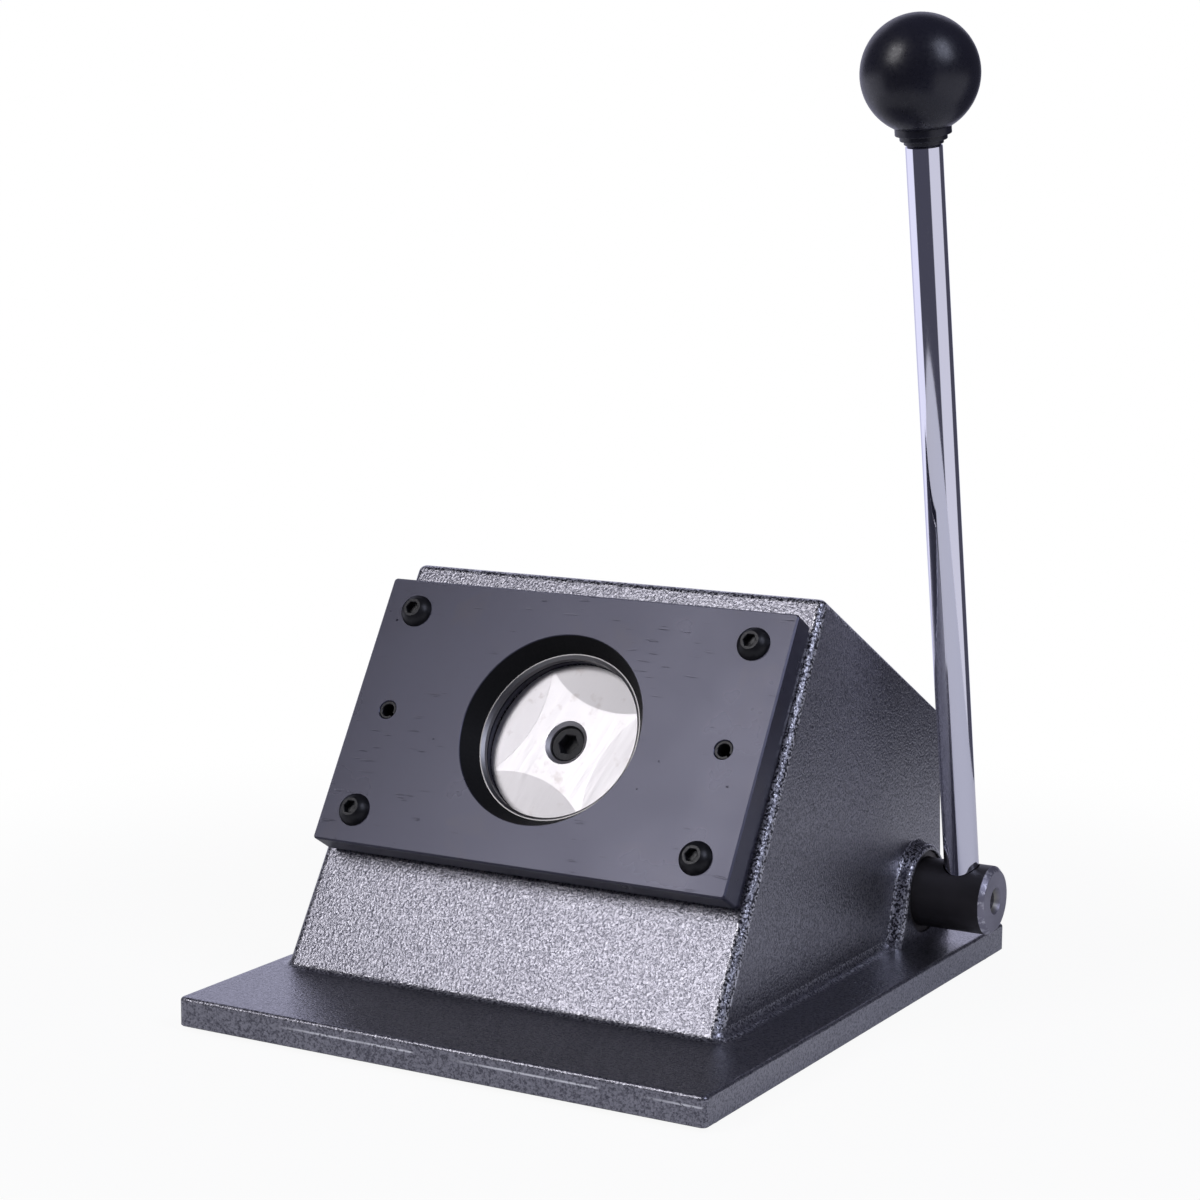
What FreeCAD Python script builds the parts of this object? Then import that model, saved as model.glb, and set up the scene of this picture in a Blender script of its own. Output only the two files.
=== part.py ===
import FreeCAD, Part
import os
from math import acos, asin, atan2, cos, degrees, hypot, pi, radians, sin, sqrt, tan
from FreeCAD import Vector

# Badge circle cutter: a hand lever turns a cam that drives a round punch through a slanted die plate.
# Machine frame while building: X = 0 in the middle of the base, Y = 0 at its front edge, Z = 0 on the
# table. The pieces are written about the centre of the whole footprint. All sizes are millimetres.

# Base and pads
base_width = 241.0
base_depth = 282.5
base_thickness = 12.0
base_corner_radius = 4.0
base_edge_radius = 2.5
pad_diameter = 17.0
pad_thickness = 4.0
pad_recess = 2.0
pad_inset_x = 11.0
pad_inset_y = 14.0

# Wedge body, cast in one with the base
body_foot_width = 205.0
body_offset_x = -8.5
shaft_to_rear = 29.7632
body_rear_margin = 9.3
body_lean = 31.0
body_slope_length = 186.8
rear_slope = 29.2
side_draft = 1.235
rear_draft = 1.0
body_edge_radius = 4.5
foot_fillet = 4.5
wall_front = 12.0
wall_side = 8.0
wall_top = 8.0
wall_rear = 6.5

# Bottom cover
opening_front_margin = 13.4
opening_rear_margin = 11.2
cover_pad_gap = 2.5
cover_lap = 10.0
cover_thickness = 2.0
cover_recess = 2.3
cover_corner_radius = 6.0
cover_screw_inset = 5.0
cover_screw_radius = 2.0
cover_screw_head_radius = 3.75
cover_screw_length = 9.5
cover_socket_across = 2.5
cover_socket_depth = 1.2

# Die stack on the slanted front
die_width = 195.0
die_height = 120.0
die_thickness = 12.0
die_corner_radius = 1.5
die_edge_chamfer = 0.7
die_centre_up_slope = 112.4
slot_gap = 1.2
stripper_thickness = 2.5
stripper_margin = 1.0
mouth_radius = 42.0
relief_radius = 37.5
relief_depth = 8.6
ring_radius = 36.9
land_length = 1.6
spacer_width = 26.0
spacer_margin = 1.5
screw_spacing_x = 162.0
screw_spacing_y = 91.0
screw_radius = 4.0
screw_head_radius = 7.1
screw_head_height = 4.4
screw_rim_height = 0.4
screw_crown_radius = 3.9
screw_crown_bulge = 0.55
screw_socket_across = 5.0
screw_socket_depth = 2.8
screw_bite = 9.5
pin_spacing = 160.5
pin_radius = 4.0
pin_wall = 1.3
pin_slit = 1.6
pin_slit_angle = -35.0
pin_bite = 10.0
pin_sink = 0.4

# Punch
punch_radius = 35.0
punch_thickness = 18.0
punch_face_depth = 15.4
scallop_radius = 49.0
scallop_slope = 5.4
scallop_count = 4
scallop_turn = 72.5
counterbore_radius = 9.3
counterbore_depth = 12.0
punch_screw_radius = 5.0
punch_screw_head_radius = 8.0
punch_screw_head_height = 10.0
punch_screw_bevel = 0.8
punch_screw_socket_across = 8.0
punch_screw_socket_depth = 5.0
punch_screw_bite = 18.0
spigot_radius = 11.0
spigot_length = 4.0

# Guide and ram
chamber_wall = 8.0
chamber_floor = 8.0
guide_wall = 9.0
guide_bush_wall = 5.0
guide_length = 32.0
guide_flange_radius = 26.0
guide_flange_thickness = 4.0
ram_radius = 16.0
ram_head_radius = 22.0
ram_head_flat = 20.0
ram_head_web = 4.5
cheek_overhang = 10.0
keyway_width = 6.0
keyway_depth = 3.0
key_screw_from_floor = 14.0
spring_seat_radius = 26.0
spring_seat_thickness = 4.0
spring_wire_radius = 2.2
spring_mean_radius = 21.0
spring_turns = 5
spring_arcs_per_turn = 4

# Cam and roller
stroke = 7.0
lever_travel = 75.0
roller_radius = 12.0
roller_width = 12.0
roller_bevel = 0.8
roller_pin_radius = 5.0
ring_thickness = 1.2
ring_outer_radius = 7.5
ring_groove_depth = 0.6
pin_tail = 1.0
cam_base_radius = 22.0
cam_width = 12.0
cam_hub_radius = 21.0
cam_hub_length = 30.0
cam_lead = 6.0
key_width = 8.0
key_height = 7.0
key_length = 26.0
key_seat = 4.0
set_screw_radius = 3.0
set_screw_socket_across = 3.0
set_screw_socket_depth = 3.0
cam_face_points = 13
cam_screw_x = 10.5

# Cross shaft, its bushes and stop
shaft_depth = 163.8
shaft_radius = 15.0
shaft_chamfer = 2.0
shaft_overhang = 15.0
centre_hole_radius = 3.2
centre_hole_depth = 3.6
boss_radius = 26.0
boss_proud = 5.5
boss_flare = 10.0
boss_edge_radius = 1.5
inner_boss_length = 14.0
bush_wall = 3.0
bush_sink = 1.0
blind_skin = 3.7
collar_radius = 27.0
collar_width = 12.0
washer_thickness = 1.5
washer_radius = 19.0
collar_hub_radius = 20.5
lug_angle = 35.0
stop_pin_radius = 4.0
stop_pin_orbit = 25.0
stop_pin_angle = 180.0
stop_boss_radius = 9.0
stop_pin_seat = 10.0

# Lever
lever_gap = 17.1
lever_lean = 10.67
rod_radius = 7.5
rod_chamfer = 1.0
rod_spigot_radius = 6.0
rod_spigot_depth = 20.0
spot_face_radius = 9.8
spot_face_height = 12.0
ball_distance = 355.0
ball_radius = 24.0
neck_flange_radius = 11.4
neck_flange_height = 24.0
neck_step_radius = 9.6
neck_step_height = 26.2
neck_tip_radius = 8.0
neck_end_height = 27.8
ball_thread_past_centre = 4.0

# Clearances
running_gap = 0.05
press_gap = 0.02
cutting_gap = 0.04
screw_gap = 0.05
side_gap = 1.0
chamber_gap = 1.5
rest_gap = 0.3
web_gap = 1.5
thrust_gap = 0.3

# Places worked out from the sizes above
lean = radians(body_lean)
up_slope = Vector(0, sin(lean), cos(lean))
outward = Vector(0, -cos(lean), sin(lean))
stack_height = stripper_thickness + slot_gap + die_thickness
foot_to_shaft = up_slope.y * die_centre_up_slope + outward.y * (stack_height - shaft_depth)
body_rear_y = base_depth - body_rear_margin
body_front_y = body_rear_y - shaft_to_rear - foot_to_shaft
opening_front_y = body_front_y + opening_front_margin
opening_rear_y = body_rear_y - opening_rear_margin
pad_inner_x = base_width / 2 - pad_inset_x - pad_diameter / 2
opening_width = 2 * (pad_inner_x - cover_pad_gap - cover_lap - abs(body_offset_x))
boss_face_x = body_offset_x + body_foot_width / 2 + boss_proud
lever_x = boss_face_x + lever_gap
shaft_right_x = lever_x + shaft_overhang
underside_z = pad_thickness - pad_recess
base_top_z = underside_z + base_thickness
body_foot = Vector(body_offset_x, body_front_y, base_top_z)
face_centre = body_foot + up_slope * die_centre_up_slope
stack_top = face_centre + outward * stack_height
shaft_centre = stack_top - outward * shaft_depth
shaft_y = shaft_centre.y
shaft_z = shaft_centre.z
ridge = body_foot + up_slope * body_slope_length
rear_top_z = ridge.z - (body_rear_y - ridge.y) * tan(radians(rear_slope))
punch_front = stack_height - punch_face_depth
punch_back = punch_front - punch_thickness
chamber_end = punch_back - rest_gap
chamber_radius = punch_radius + chamber_gap
guide_end = chamber_end - guide_length
guide_bush_radius = ram_radius + guide_bush_wall
guide_radius = guide_bush_radius + guide_wall
bush_radius = shaft_radius + bush_wall
shaft_w = stack_height - shaft_depth
roller_orbit = cam_base_radius + rest_gap + roller_radius
roller_w = shaft_w + roller_orbit
head_front = roller_w + roller_radius + web_gap + ram_head_web
cheek_end = roller_w - cheek_overhang
spring_front = guide_end - guide_flange_thickness
spring_back = head_front + spring_seat_thickness
outward_angle = degrees(atan2(outward.z, outward.y))
lever_angle = 90.0 + lever_lean
lever_rise = stroke / radians(lever_travel)
far = 2.0 * base_depth


def half_width(z):
    """Half the body's width at a height, as the side draft narrows it."""
    return body_foot_width / 2 - (z - base_top_z) * tan(radians(side_draft))


wall_right_x = body_offset_x + half_width(shaft_z) - wall_side
wall_left_x = body_offset_x - half_width(shaft_z) + wall_side
boss_inner_x = wall_right_x - inner_boss_length
left_boss_x = wall_left_x + inner_boss_length
left_bore_end_x = wall_left_x - wall_side + blind_skin
shaft_left_x = left_bore_end_x + thrust_gap
collar_x = boss_inner_x - thrust_gap - washer_thickness - collar_width
footprint_centre = Vector((lever_x + ball_radius - base_width / 2) / 2, base_depth / 2, 0)


def face_of(points):
    """A flat face with straight sides through the points."""
    return Part.Face(Part.makePolygon([Vector(*p) for p in points] + [Vector(*points[0])]))


def box(x0, x1, y0, y1, z0, z1):
    """A box between two corners."""
    return Part.makeBox(x1 - x0, y1 - y0, z1 - z0, Vector(x0, y0, z0))


def rod_x(radius, x0, x1, y=shaft_y, z=shaft_z):
    """A cylinder along X, about the cross shaft's axis unless told otherwise."""
    return Part.makeCylinder(radius, x1 - x0, Vector(x0, y, z), Vector(1, 0, 0))


def tube_x(outer, inner, x0, x1):
    """A tube along X about the cross shaft's axis."""
    return rod_x(outer, x0, x1).cut(rod_x(inner, x0, x1))


def turned(profile):
    """A solid of revolution about Z from (radius, height) points."""
    face = face_of([(r, 0, h) for r, h in profile])
    return face.revolve(Vector(0, 0, 0), Vector(0, 0, 1), 360)


def round_bar(radius, h0, h1, u=0.0, v=0.0):
    """A cylinder along local Z between two heights."""
    return Part.makeCylinder(radius, h1 - h0, Vector(u, v, h0))


def rounded_plate(width, height, h0, h1, radius):
    """A rectangular plate in the local XY plane with rounded corners."""
    plate = Part.makeBox(width, height, h1 - h0, Vector(-width / 2, -height / 2, h0))
    corners = [e for e in plate.Edges if abs(e.tangentAt(e.FirstParameter).z) > 0.99]
    return plate.makeFillet(radius, corners)


def hexagon(across, h0, h1):
    """A hexagonal prism along local Z, for a hex socket."""
    corner = across / sqrt(3)
    ring = [(corner * cos(k * pi / 3), corner * sin(k * pi / 3), h0) for k in range(6)]
    return face_of(ring).extrude(Vector(0, 0, h1 - h0))


def on_slope(shape):
    """Carries a shape from the slope's own frame (u across, v up the slope, w outward) to the machine."""
    shape.rotate(Vector(0, 0, 0), Vector(1, 0, 0), 90 - body_lean)
    shape.translate(face_centre)
    return shape


def about_shaft(shape, angle):
    """Turns a shape built with local +Z radial, at the shaft's middle, to an angle from +Y about +X."""
    shape.rotate(Vector(0, 0, 0), Vector(1, 0, 0), angle - 90)
    shape.translate(Vector(0, shaft_y, shaft_z))
    return shape


def grid(spacing_x, spacing_y):
    """The four corners of a rectangle of fasteners."""
    return [(i * spacing_x / 2, j * spacing_y / 2) for i in (-1, 1) for j in (-1, 1)]


def group(solids):
    """Identical pieces that share a node."""
    return Part.makeCompound(solids)


def inset_profile(points, walls):
    """Moves each side of a closed outline inwards by its own wall and joins the sides again.

    The outline runs clockwise in (y, z), so inwards is to the right of each side.
    """
    sides = []
    count = len(points)
    for k in range(count):
        a = points[k]
        b = points[(k + 1) % count]
        length = hypot(b[0] - a[0], b[1] - a[1])
        d = ((b[0] - a[0]) / length, (b[1] - a[1]) / length)
        sides.append(((a[0] + d[1] * walls[k], a[1] - d[0] * walls[k]), d))
    corners = []
    for k in range(count):
        p, d = sides[k - 1]
        q, e = sides[k]
        cross = d[0] * e[1] - d[1] * e[0]
        t = ((q[0] - p[0]) * e[1] - (q[1] - p[1]) * e[0]) / cross
        corners.append((p[0] + d[0] * t, p[1] + d[1] * t))
    return corners


def side_profile(floor_z):
    """The wedge seen from the side, from a floor height: front foot, ridge, rear top, rear foot."""
    drop = base_top_z - floor_z
    return [
        (body_front_y - drop * tan(lean), floor_z),
        (ridge.y, ridge.z),
        (body_rear_y - (rear_top_z - base_top_z) * tan(radians(rear_draft)), rear_top_z),
        (body_rear_y + drop * tan(radians(rear_draft)), floor_z),
    ]


def wedge(profile, wall, floor_z):
    """The side profile carried across the body and trimmed by its two drafted sides."""
    slab = face_of([(-far, y, z) for y, z in profile]).extrude(Vector(2 * far, 0, 0))
    low = half_width(floor_z) - wall
    high = half_width(ridge.z) - wall
    outline = [(-low, floor_z), (low, floor_z), (high, ridge.z), (-high, ridge.z)]
    trim = face_of([(body_offset_x + x, -far, z) for x, z in outline]).extrude(Vector(0, 3 * far, 0))
    return slab.common(trim)


def lever_boss():
    """The arched pad on the right side around the shaft, its flanks flared down to the base."""
    spread = radians(boss_flare)
    touch_y = boss_radius * cos(spread)
    touch_z = boss_radius * sin(spread)
    floor_z = base_top_z - base_thickness / 2
    reach = touch_y + (shaft_z + touch_z - floor_z) * tan(spread)
    x0 = wall_right_x
    left = Vector(x0, shaft_y - touch_y, shaft_z + touch_z)
    right = Vector(x0, shaft_y + touch_y, shaft_z + touch_z)
    crown = Vector(x0, shaft_y, shaft_z + boss_radius)
    foot_left = Vector(x0, shaft_y - reach, floor_z)
    foot_right = Vector(x0, shaft_y + reach, floor_z)
    outline = Part.Wire([
        Part.makeLine(foot_left, left),
        Part.Arc(left, crown, right).toShape(),
        Part.makeLine(right, foot_right),
        Part.makeLine(foot_right, foot_left),
    ])
    boss = Part.Face(outline).extrude(Vector(boss_face_x - x0, 0, 0))
    rim = [
        e for e in boss.Edges
        if min(v.X for v in e.Vertexes) > boss_face_x - 0.01 and e.CenterOfMass.z > floor_z + 0.01
    ]
    return boss.makeFillet(boss_edge_radius, rim)


def base_slab():
    """The flanged base with rounded corners and a rounded top edge."""
    slab = rounded_plate(base_width, base_depth, underside_z, base_top_z, base_corner_radius)
    slab.translate(Vector(0, base_depth / 2, 0))
    top = [e for e in slab.Edges if min(p.z for p in e.discretize(3)) > base_top_z - 0.01]
    return slab.makeFillet(base_edge_radius, top)


def foot_edges(shape):
    """The edges where the wedge meets the base top."""
    found = []
    for edge in shape.Edges:
        points = [v.Point for v in edge.Vertexes]
        on_top = all(abs(p.z - base_top_z) < 0.01 for p in points)
        inside = all(abs(p.x) < base_width / 2 - base_edge_radius - 1 for p in points)
        short = all(base_edge_radius + 1 < p.y < base_depth - base_edge_radius - 1 for p in points)
        if len(points) == 2 and on_top and inside and short:
            found.append(edge)
    return found


def pad_places():
    """Pad centres near the four corners of the base."""
    x = base_width / 2 - pad_inset_x
    return [(sx * x, y) for sx in (-1, 1) for y in (pad_inset_y, base_depth - pad_inset_y)]


def cover_screw_places():
    """Three screws along each long side of the cover."""
    x = opening_width / 2 + cover_screw_inset
    ends = (opening_front_y - cover_screw_inset, opening_rear_y + cover_screw_inset)
    rows = (ends[0], (ends[0] + ends[1]) / 2, ends[1])
    return [(body_offset_x + sx * x, y) for sx in (-1, 1) for y in rows]


def cover_blank(clearance, h0, h1):
    """The cover's outline, also used for its recess."""
    width = opening_width + 2 * cover_lap + 2 * clearance
    depth = opening_rear_y - opening_front_y + 2 * cover_lap + 2 * clearance
    blank = rounded_plate(width, depth, h0, h1, cover_corner_radius)
    blank.translate(Vector(body_offset_x, (opening_front_y + opening_rear_y) / 2, 0))
    return blank


def stop_pin_place():
    """Where the stop pin stands, as (y, z)."""
    angle = radians(stop_pin_angle)
    return (shaft_y + stop_pin_orbit * cos(angle), shaft_z + stop_pin_orbit * sin(angle))


def frame_casting():
    """Base, wedge body, lever boss and inner bosses in one hollow casting."""
    floor_z = base_top_z - base_thickness / 2
    body = wedge(side_profile(floor_z), 0.0, floor_z)
    upper = [e for e in body.Edges if max(v.Z for v in e.Vertexes) > base_top_z + 1]
    body = body.makeFillet(body_edge_radius, upper)
    shell = base_slab().fuse(body).removeSplitter()
    shell = shell.makeFillet(foot_fillet, foot_edges(shell))
    shell = shell.fuse(lever_boss())
    walls = (wall_front, wall_top, wall_rear, 0.0)
    hollow = wedge(inset_profile(side_profile(base_top_z), walls), wall_side, base_top_z)
    shell = shell.cut(hollow)
    half = opening_width / 2
    shell = shell.cut(box(body_offset_x - half, body_offset_x + half,
                          opening_front_y, opening_rear_y, 0, base_top_z + 1))
    shell = shell.cut(cover_blank(side_gap / 2, 0, underside_z + cover_recess))
    pin_y, pin_z = stop_pin_place()
    inner = [
        on_slope(round_bar(chamber_radius + chamber_wall, chamber_end - chamber_floor, -wall_front / 2)),
        on_slope(round_bar(guide_radius, guide_end, -wall_front)),
        rod_x(boss_radius, boss_inner_x, wall_right_x + wall_side / 2),
        rod_x(boss_radius, wall_left_x - wall_side / 2, left_boss_x),
        rod_x(stop_boss_radius, boss_inner_x, wall_right_x + wall_side / 2, pin_y, pin_z),
    ]
    shell = shell.fuse(inner)
    cuts = [
        on_slope(round_bar(chamber_radius, chamber_end, 1)),
        on_slope(round_bar(guide_bush_radius + press_gap, guide_end - 1, chamber_end + 1)),
        rod_x(bush_radius + press_gap, boss_inner_x - 1, boss_face_x + 1),
        rod_x(bush_radius + press_gap, left_bore_end_x, left_boss_x + 1),
        rod_x(stop_pin_radius + press_gap, boss_inner_x - 1, boss_inner_x + stop_pin_seat, pin_y, pin_z),
        on_slope(key_screw_hole(guide_radius, screw_gap)),
    ]
    cuts += [on_slope(round_bar(screw_radius + screw_gap, -screw_bite - 1, 1, u, v))
             for u, v in grid(screw_spacing_x, screw_spacing_y)]
    cuts += [on_slope(round_bar(pin_radius + press_gap, -pin_bite, 1, side * pin_spacing / 2))
             for side in (-1, 1)]
    cuts += [Part.makeCylinder(pad_diameter / 2 + press_gap, underside_z + pad_recess, Vector(x, y, 0))
             for x, y in pad_places()]
    cuts += [Part.makeCylinder(cover_screw_radius + screw_gap, underside_z + cover_screw_length + 1,
                               Vector(x, y, 0)) for x, y in cover_screw_places()]
    return shell.cut(cuts)


def base_cover():
    """Sheet cover over the underside opening, countersunk for its screws."""
    top = underside_z + cover_recess
    cover = cover_blank(0, top - cover_thickness, top)
    sink = cover_screw_head_radius - cover_screw_radius
    cuts = []
    for x, y in cover_screw_places():
        cuts.append(Part.makeCylinder(cover_screw_radius + screw_gap, far, Vector(x, y, 0)))
        cuts.append(Part.makeCone(cover_screw_head_radius + screw_gap, cover_screw_radius + screw_gap,
                                  sink, Vector(x, y, top - cover_thickness)))
    return cover.cut(cuts)


def cover_screws():
    """Countersunk screws flush with the cover's lower face."""
    low = underside_z + cover_recess - cover_thickness
    sink = cover_screw_head_radius - cover_screw_radius
    solids = []
    for x, y in cover_screw_places():
        head = Part.makeCone(cover_screw_head_radius, cover_screw_radius, sink, Vector(x, y, low))
        shank = Part.makeCylinder(cover_screw_radius, cover_screw_length, Vector(x, y, low))
        socket = hexagon(cover_socket_across, low - 1, low + cover_socket_depth)
        socket.translate(Vector(x, y, 0))
        solids.append(head.fuse(shank).removeSplitter().cut(socket))
    return group(solids)


def foot_pads():
    """Rubber pads pressed into round recesses of the base."""
    return group([Part.makeCylinder(pad_diameter / 2, pad_thickness, Vector(x, y, 0))
                  for x, y in pad_places()])


def stack_holes(h0, h1):
    """Screw and pin holes through a plate of the die stack."""
    holes = [round_bar(screw_radius + screw_gap, h0 - 1, h1 + 1, u, v)
             for u, v in grid(screw_spacing_x, screw_spacing_y)]
    holes += [round_bar(pin_radius + press_gap, h0 - 1, h1 + 1, side * pin_spacing / 2) for side in (-1, 1)]
    return holes


def die_plate():
    """The die: mouth cone from the front, ground ring, and the cutting land at the back."""
    back = stripper_thickness + slot_gap
    plate = rounded_plate(die_width, die_height, back, stack_height, die_corner_radius)
    front = [e for e in plate.Edges if min(p.z for p in e.discretize(3)) > stack_height - 0.01]
    plate = plate.makeChamfer(die_edge_chamfer, front)
    land = punch_radius + cutting_gap
    ring_back = back + land_length
    ring_front = stack_height - relief_depth
    mouth = turned([
        (0, back - 1), (land, back - 1), (land, ring_back), (ring_radius, ring_front),
        (relief_radius, ring_front), (mouth_radius, stack_height),
        (mouth_radius, stack_height + 1), (0, stack_height + 1),
    ])
    return on_slope(plate.cut([mouth] + stack_holes(back, stack_height)))


def stripper_plate():
    """The thin plate behind the slot, open just wide enough for the punch."""
    plate = rounded_plate(die_width - 2 * stripper_margin, die_height - 2 * stripper_margin,
                          0, stripper_thickness, die_corner_radius)
    opening = round_bar(punch_radius + rest_gap, -1, stripper_thickness + 1)
    return on_slope(plate.cut([opening] + stack_holes(0, stripper_thickness)))


def spacer(side):
    """One strip at an end of the stack, setting the height of the paper slot."""
    outer = die_width / 2 - spacer_margin
    height = die_height - 2 * spacer_margin
    x0 = min(side * outer, side * (outer - spacer_width))
    strip = Part.makeBox(spacer_width, height, slot_gap, Vector(x0, -height / 2, stripper_thickness))
    return on_slope(strip.cut(stack_holes(stripper_thickness, stripper_thickness + slot_gap)))


def button_screw():
    """A button head screw with a hex socket, its head standing on local Z = 0."""
    rise = screw_head_height
    rim = Vector(screw_head_radius, 0, screw_rim_height)
    brow = Vector(screw_crown_radius, 0, rise)
    across = brow - rim
    middle = (rim + brow) * 0.5 + Vector(across.z, 0, -across.x).normalize() * screw_crown_bulge
    length = stack_height + screw_bite
    outline = Part.Wire([
        Part.makeLine(Vector(0, 0, -length), Vector(screw_radius, 0, -length)),
        Part.makeLine(Vector(screw_radius, 0, -length), Vector(screw_radius, 0, 0)),
        Part.makeLine(Vector(screw_radius, 0, 0), Vector(screw_head_radius, 0, 0)),
        Part.makeLine(Vector(screw_head_radius, 0, 0), rim),
        Part.Arc(rim, middle, brow).toShape(),
        Part.makeLine(brow, Vector(0, 0, rise)),
        Part.makeLine(Vector(0, 0, rise), Vector(0, 0, -length)),
    ])
    screw = Part.Face(outline).revolve(Vector(0, 0, 0), Vector(0, 0, 1), 360)
    return screw.cut(hexagon(screw_socket_across, rise - screw_socket_depth, rise + 1))


def die_screws():
    """Four button head screws through the stack into the casting."""
    solids = []
    for u, v in grid(screw_spacing_x, screw_spacing_y):
        screw = button_screw()
        screw.translate(Vector(u, v, stack_height))
        solids.append(on_slope(screw))
    return group(solids)


def locating_pins():
    """Two slit spring pins that line the stack up with the punch."""
    solids = []
    for side in (-1, 1):
        top = stack_height - pin_sink
        tube = round_bar(pin_radius, -pin_bite, top)
        tube = tube.cut(round_bar(pin_radius - pin_wall, -pin_bite - 1, top + 1))
        slit = Part.makeBox(2 * pin_radius, pin_slit, top + pin_bite + 2,
                            Vector(0, -pin_slit / 2, -pin_bite - 1))
        slit.rotate(Vector(0, 0, 0), Vector(0, 0, 1), pin_slit_angle)
        pin = tube.cut(slit)
        pin.translate(Vector(side * pin_spacing / 2, 0, 0))
        solids.append(on_slope(pin))
    return group(solids)


def punch():
    """The round punch: four shallow cones ground into its face leave a star whose points cut first."""
    blank = round_bar(punch_radius, punch_back, punch_front)
    half_turn = pi / scallop_count
    orbit = punch_radius * cos(half_turn) + sqrt(scallop_radius ** 2 - (punch_radius * sin(half_turn)) ** 2)
    depth = scallop_radius * tan(radians(scallop_slope))
    cuts = []
    for k in range(scallop_count):
        angle = radians(scallop_turn + 360.0 * k / scallop_count)
        place = Vector(orbit * cos(angle), orbit * sin(angle), punch_front)
        cuts.append(Part.makeCone(scallop_radius, 0, depth, place, Vector(0, 0, -1)))
    cuts.append(round_bar(counterbore_radius, punch_front - counterbore_depth, punch_front + 1))
    cuts.append(round_bar(punch_screw_radius + screw_gap, punch_back - 1, punch_front))
    cuts.append(round_bar(spigot_radius + running_gap, punch_back - 1, punch_back + spigot_length))
    return on_slope(blank.cut(cuts))


def punch_screw():
    """Socket cap screw at the bottom of the punch's counterbore."""
    seat = punch_front - counterbore_depth
    top = seat + punch_screw_head_height
    bevel = punch_screw_bevel
    head = turned([(0, 0), (punch_screw_head_radius, 0),
                   (punch_screw_head_radius, punch_screw_head_height - bevel),
                   (punch_screw_head_radius - bevel, punch_screw_head_height),
                   (0, punch_screw_head_height)])
    head.translate(Vector(0, 0, seat))
    shank = round_bar(punch_screw_radius, punch_back - punch_screw_bite, seat)
    socket = hexagon(punch_screw_socket_across, top - punch_screw_socket_depth, top + 1)
    return on_slope(head.fuse(shank).removeSplitter().cut(socket))


def key_screw_hole(out_to, clearance):
    """The radial hole of the anti-turn screw, from near the keyway's floor down to a radius."""
    tip = ram_radius - keyway_depth + rest_gap
    place = Vector(0, -tip, chamber_end - key_screw_from_floor)
    return Part.makeCylinder(set_screw_radius + clearance, out_to - tip, place, Vector(0, -1, 0))


def guide_key_screw():
    """Dog point screw in the guide, its tip in the ram's keyway."""
    end = guide_radius - rest_gap
    screw = key_screw_hole(end, 0)
    socket = hexagon(set_screw_socket_across, 0, set_screw_socket_depth)
    socket.rotate(Vector(0, 0, 0), Vector(1, 0, 0), -90)
    socket.translate(Vector(0, -end, chamber_end - key_screw_from_floor))
    return on_slope(screw.cut(socket))


def guide_bush():
    """Flanged bush of the ram, pressed into the guide from behind."""
    bore = ram_radius + running_gap
    outer = guide_bush_radius
    bush = turned([(bore, spring_front), (guide_flange_radius, spring_front),
                   (guide_flange_radius, guide_end), (outer, guide_end),
                   (outer, chamber_end), (bore, chamber_end)])
    return on_slope(bush.cut(key_screw_hole(guide_radius, screw_gap)))


def ram():
    """The ram: spigot for the punch, round shank with a keyway, and a forked tail for the roller."""
    body = turned([(0, cheek_end), (ram_head_radius, cheek_end), (ram_head_radius, head_front),
                   (ram_radius, head_front), (ram_radius, punch_back), (spigot_radius, punch_back),
                   (spigot_radius, punch_back + spigot_length - rest_gap),
                   (0, punch_back + spigot_length - rest_gap)])
    slot = roller_width / 2 + side_gap
    slot_floor = roller_w + roller_radius + web_gap
    key_margin = set_screw_radius + 2 * rest_gap
    key_w = chamber_end - key_screw_from_floor
    cuts = [
        Part.makeBox(2 * slot, 4 * ram_head_radius, slot_floor - cheek_end + 1,
                     Vector(-slot, -2 * ram_head_radius, cheek_end - 1)),
        Part.makeCylinder(roller_pin_radius + press_gap, 4 * ram_head_radius,
                          Vector(-2 * ram_head_radius, 0, roller_w), Vector(1, 0, 0)),
        Part.makeBox(keyway_width + 2 * running_gap, keyway_depth, stroke + 2 * key_margin,
                     Vector(-keyway_width / 2 - running_gap, -ram_radius, key_w - key_margin - stroke)),
        round_bar(punch_screw_radius + screw_gap, punch_back - punch_screw_bite - side_gap,
                  punch_back + spigot_length),
    ]
    for side in (-1, 1):
        flat = Part.makeBox(ram_head_radius, 4 * ram_head_radius, head_front - cheek_end + 2,
                            Vector(0, -2 * ram_head_radius, cheek_end - 1))
        flat.translate(Vector(ram_head_flat if side > 0 else -ram_head_flat - ram_head_radius, 0, 0))
        cuts.append(flat)
    return on_slope(body.cut(cuts))


def roller_pin():
    """Pin through the fork, with a groove for a ring near each end."""
    end = ram_head_flat + rest_gap / 2 + ring_thickness + pin_tail
    pin = Part.makeCylinder(roller_pin_radius, 2 * end, Vector(-end, 0, roller_w), Vector(1, 0, 0))
    grooves = []
    for x in ring_places():
        band = Part.makeCylinder(2 * roller_pin_radius, ring_thickness,
                                 Vector(x, 0, roller_w), Vector(1, 0, 0))
        core = Part.makeCylinder(roller_pin_radius - ring_groove_depth, ring_thickness,
                                 Vector(x, 0, roller_w), Vector(1, 0, 0))
        grooves.append(band.cut(core))
    return on_slope(pin.cut(grooves))


def ring_places():
    """Inner X of each retaining ring, just outside the fork's flats."""
    outside = ram_head_flat + rest_gap / 2
    return (outside, -outside - ring_thickness)


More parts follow.
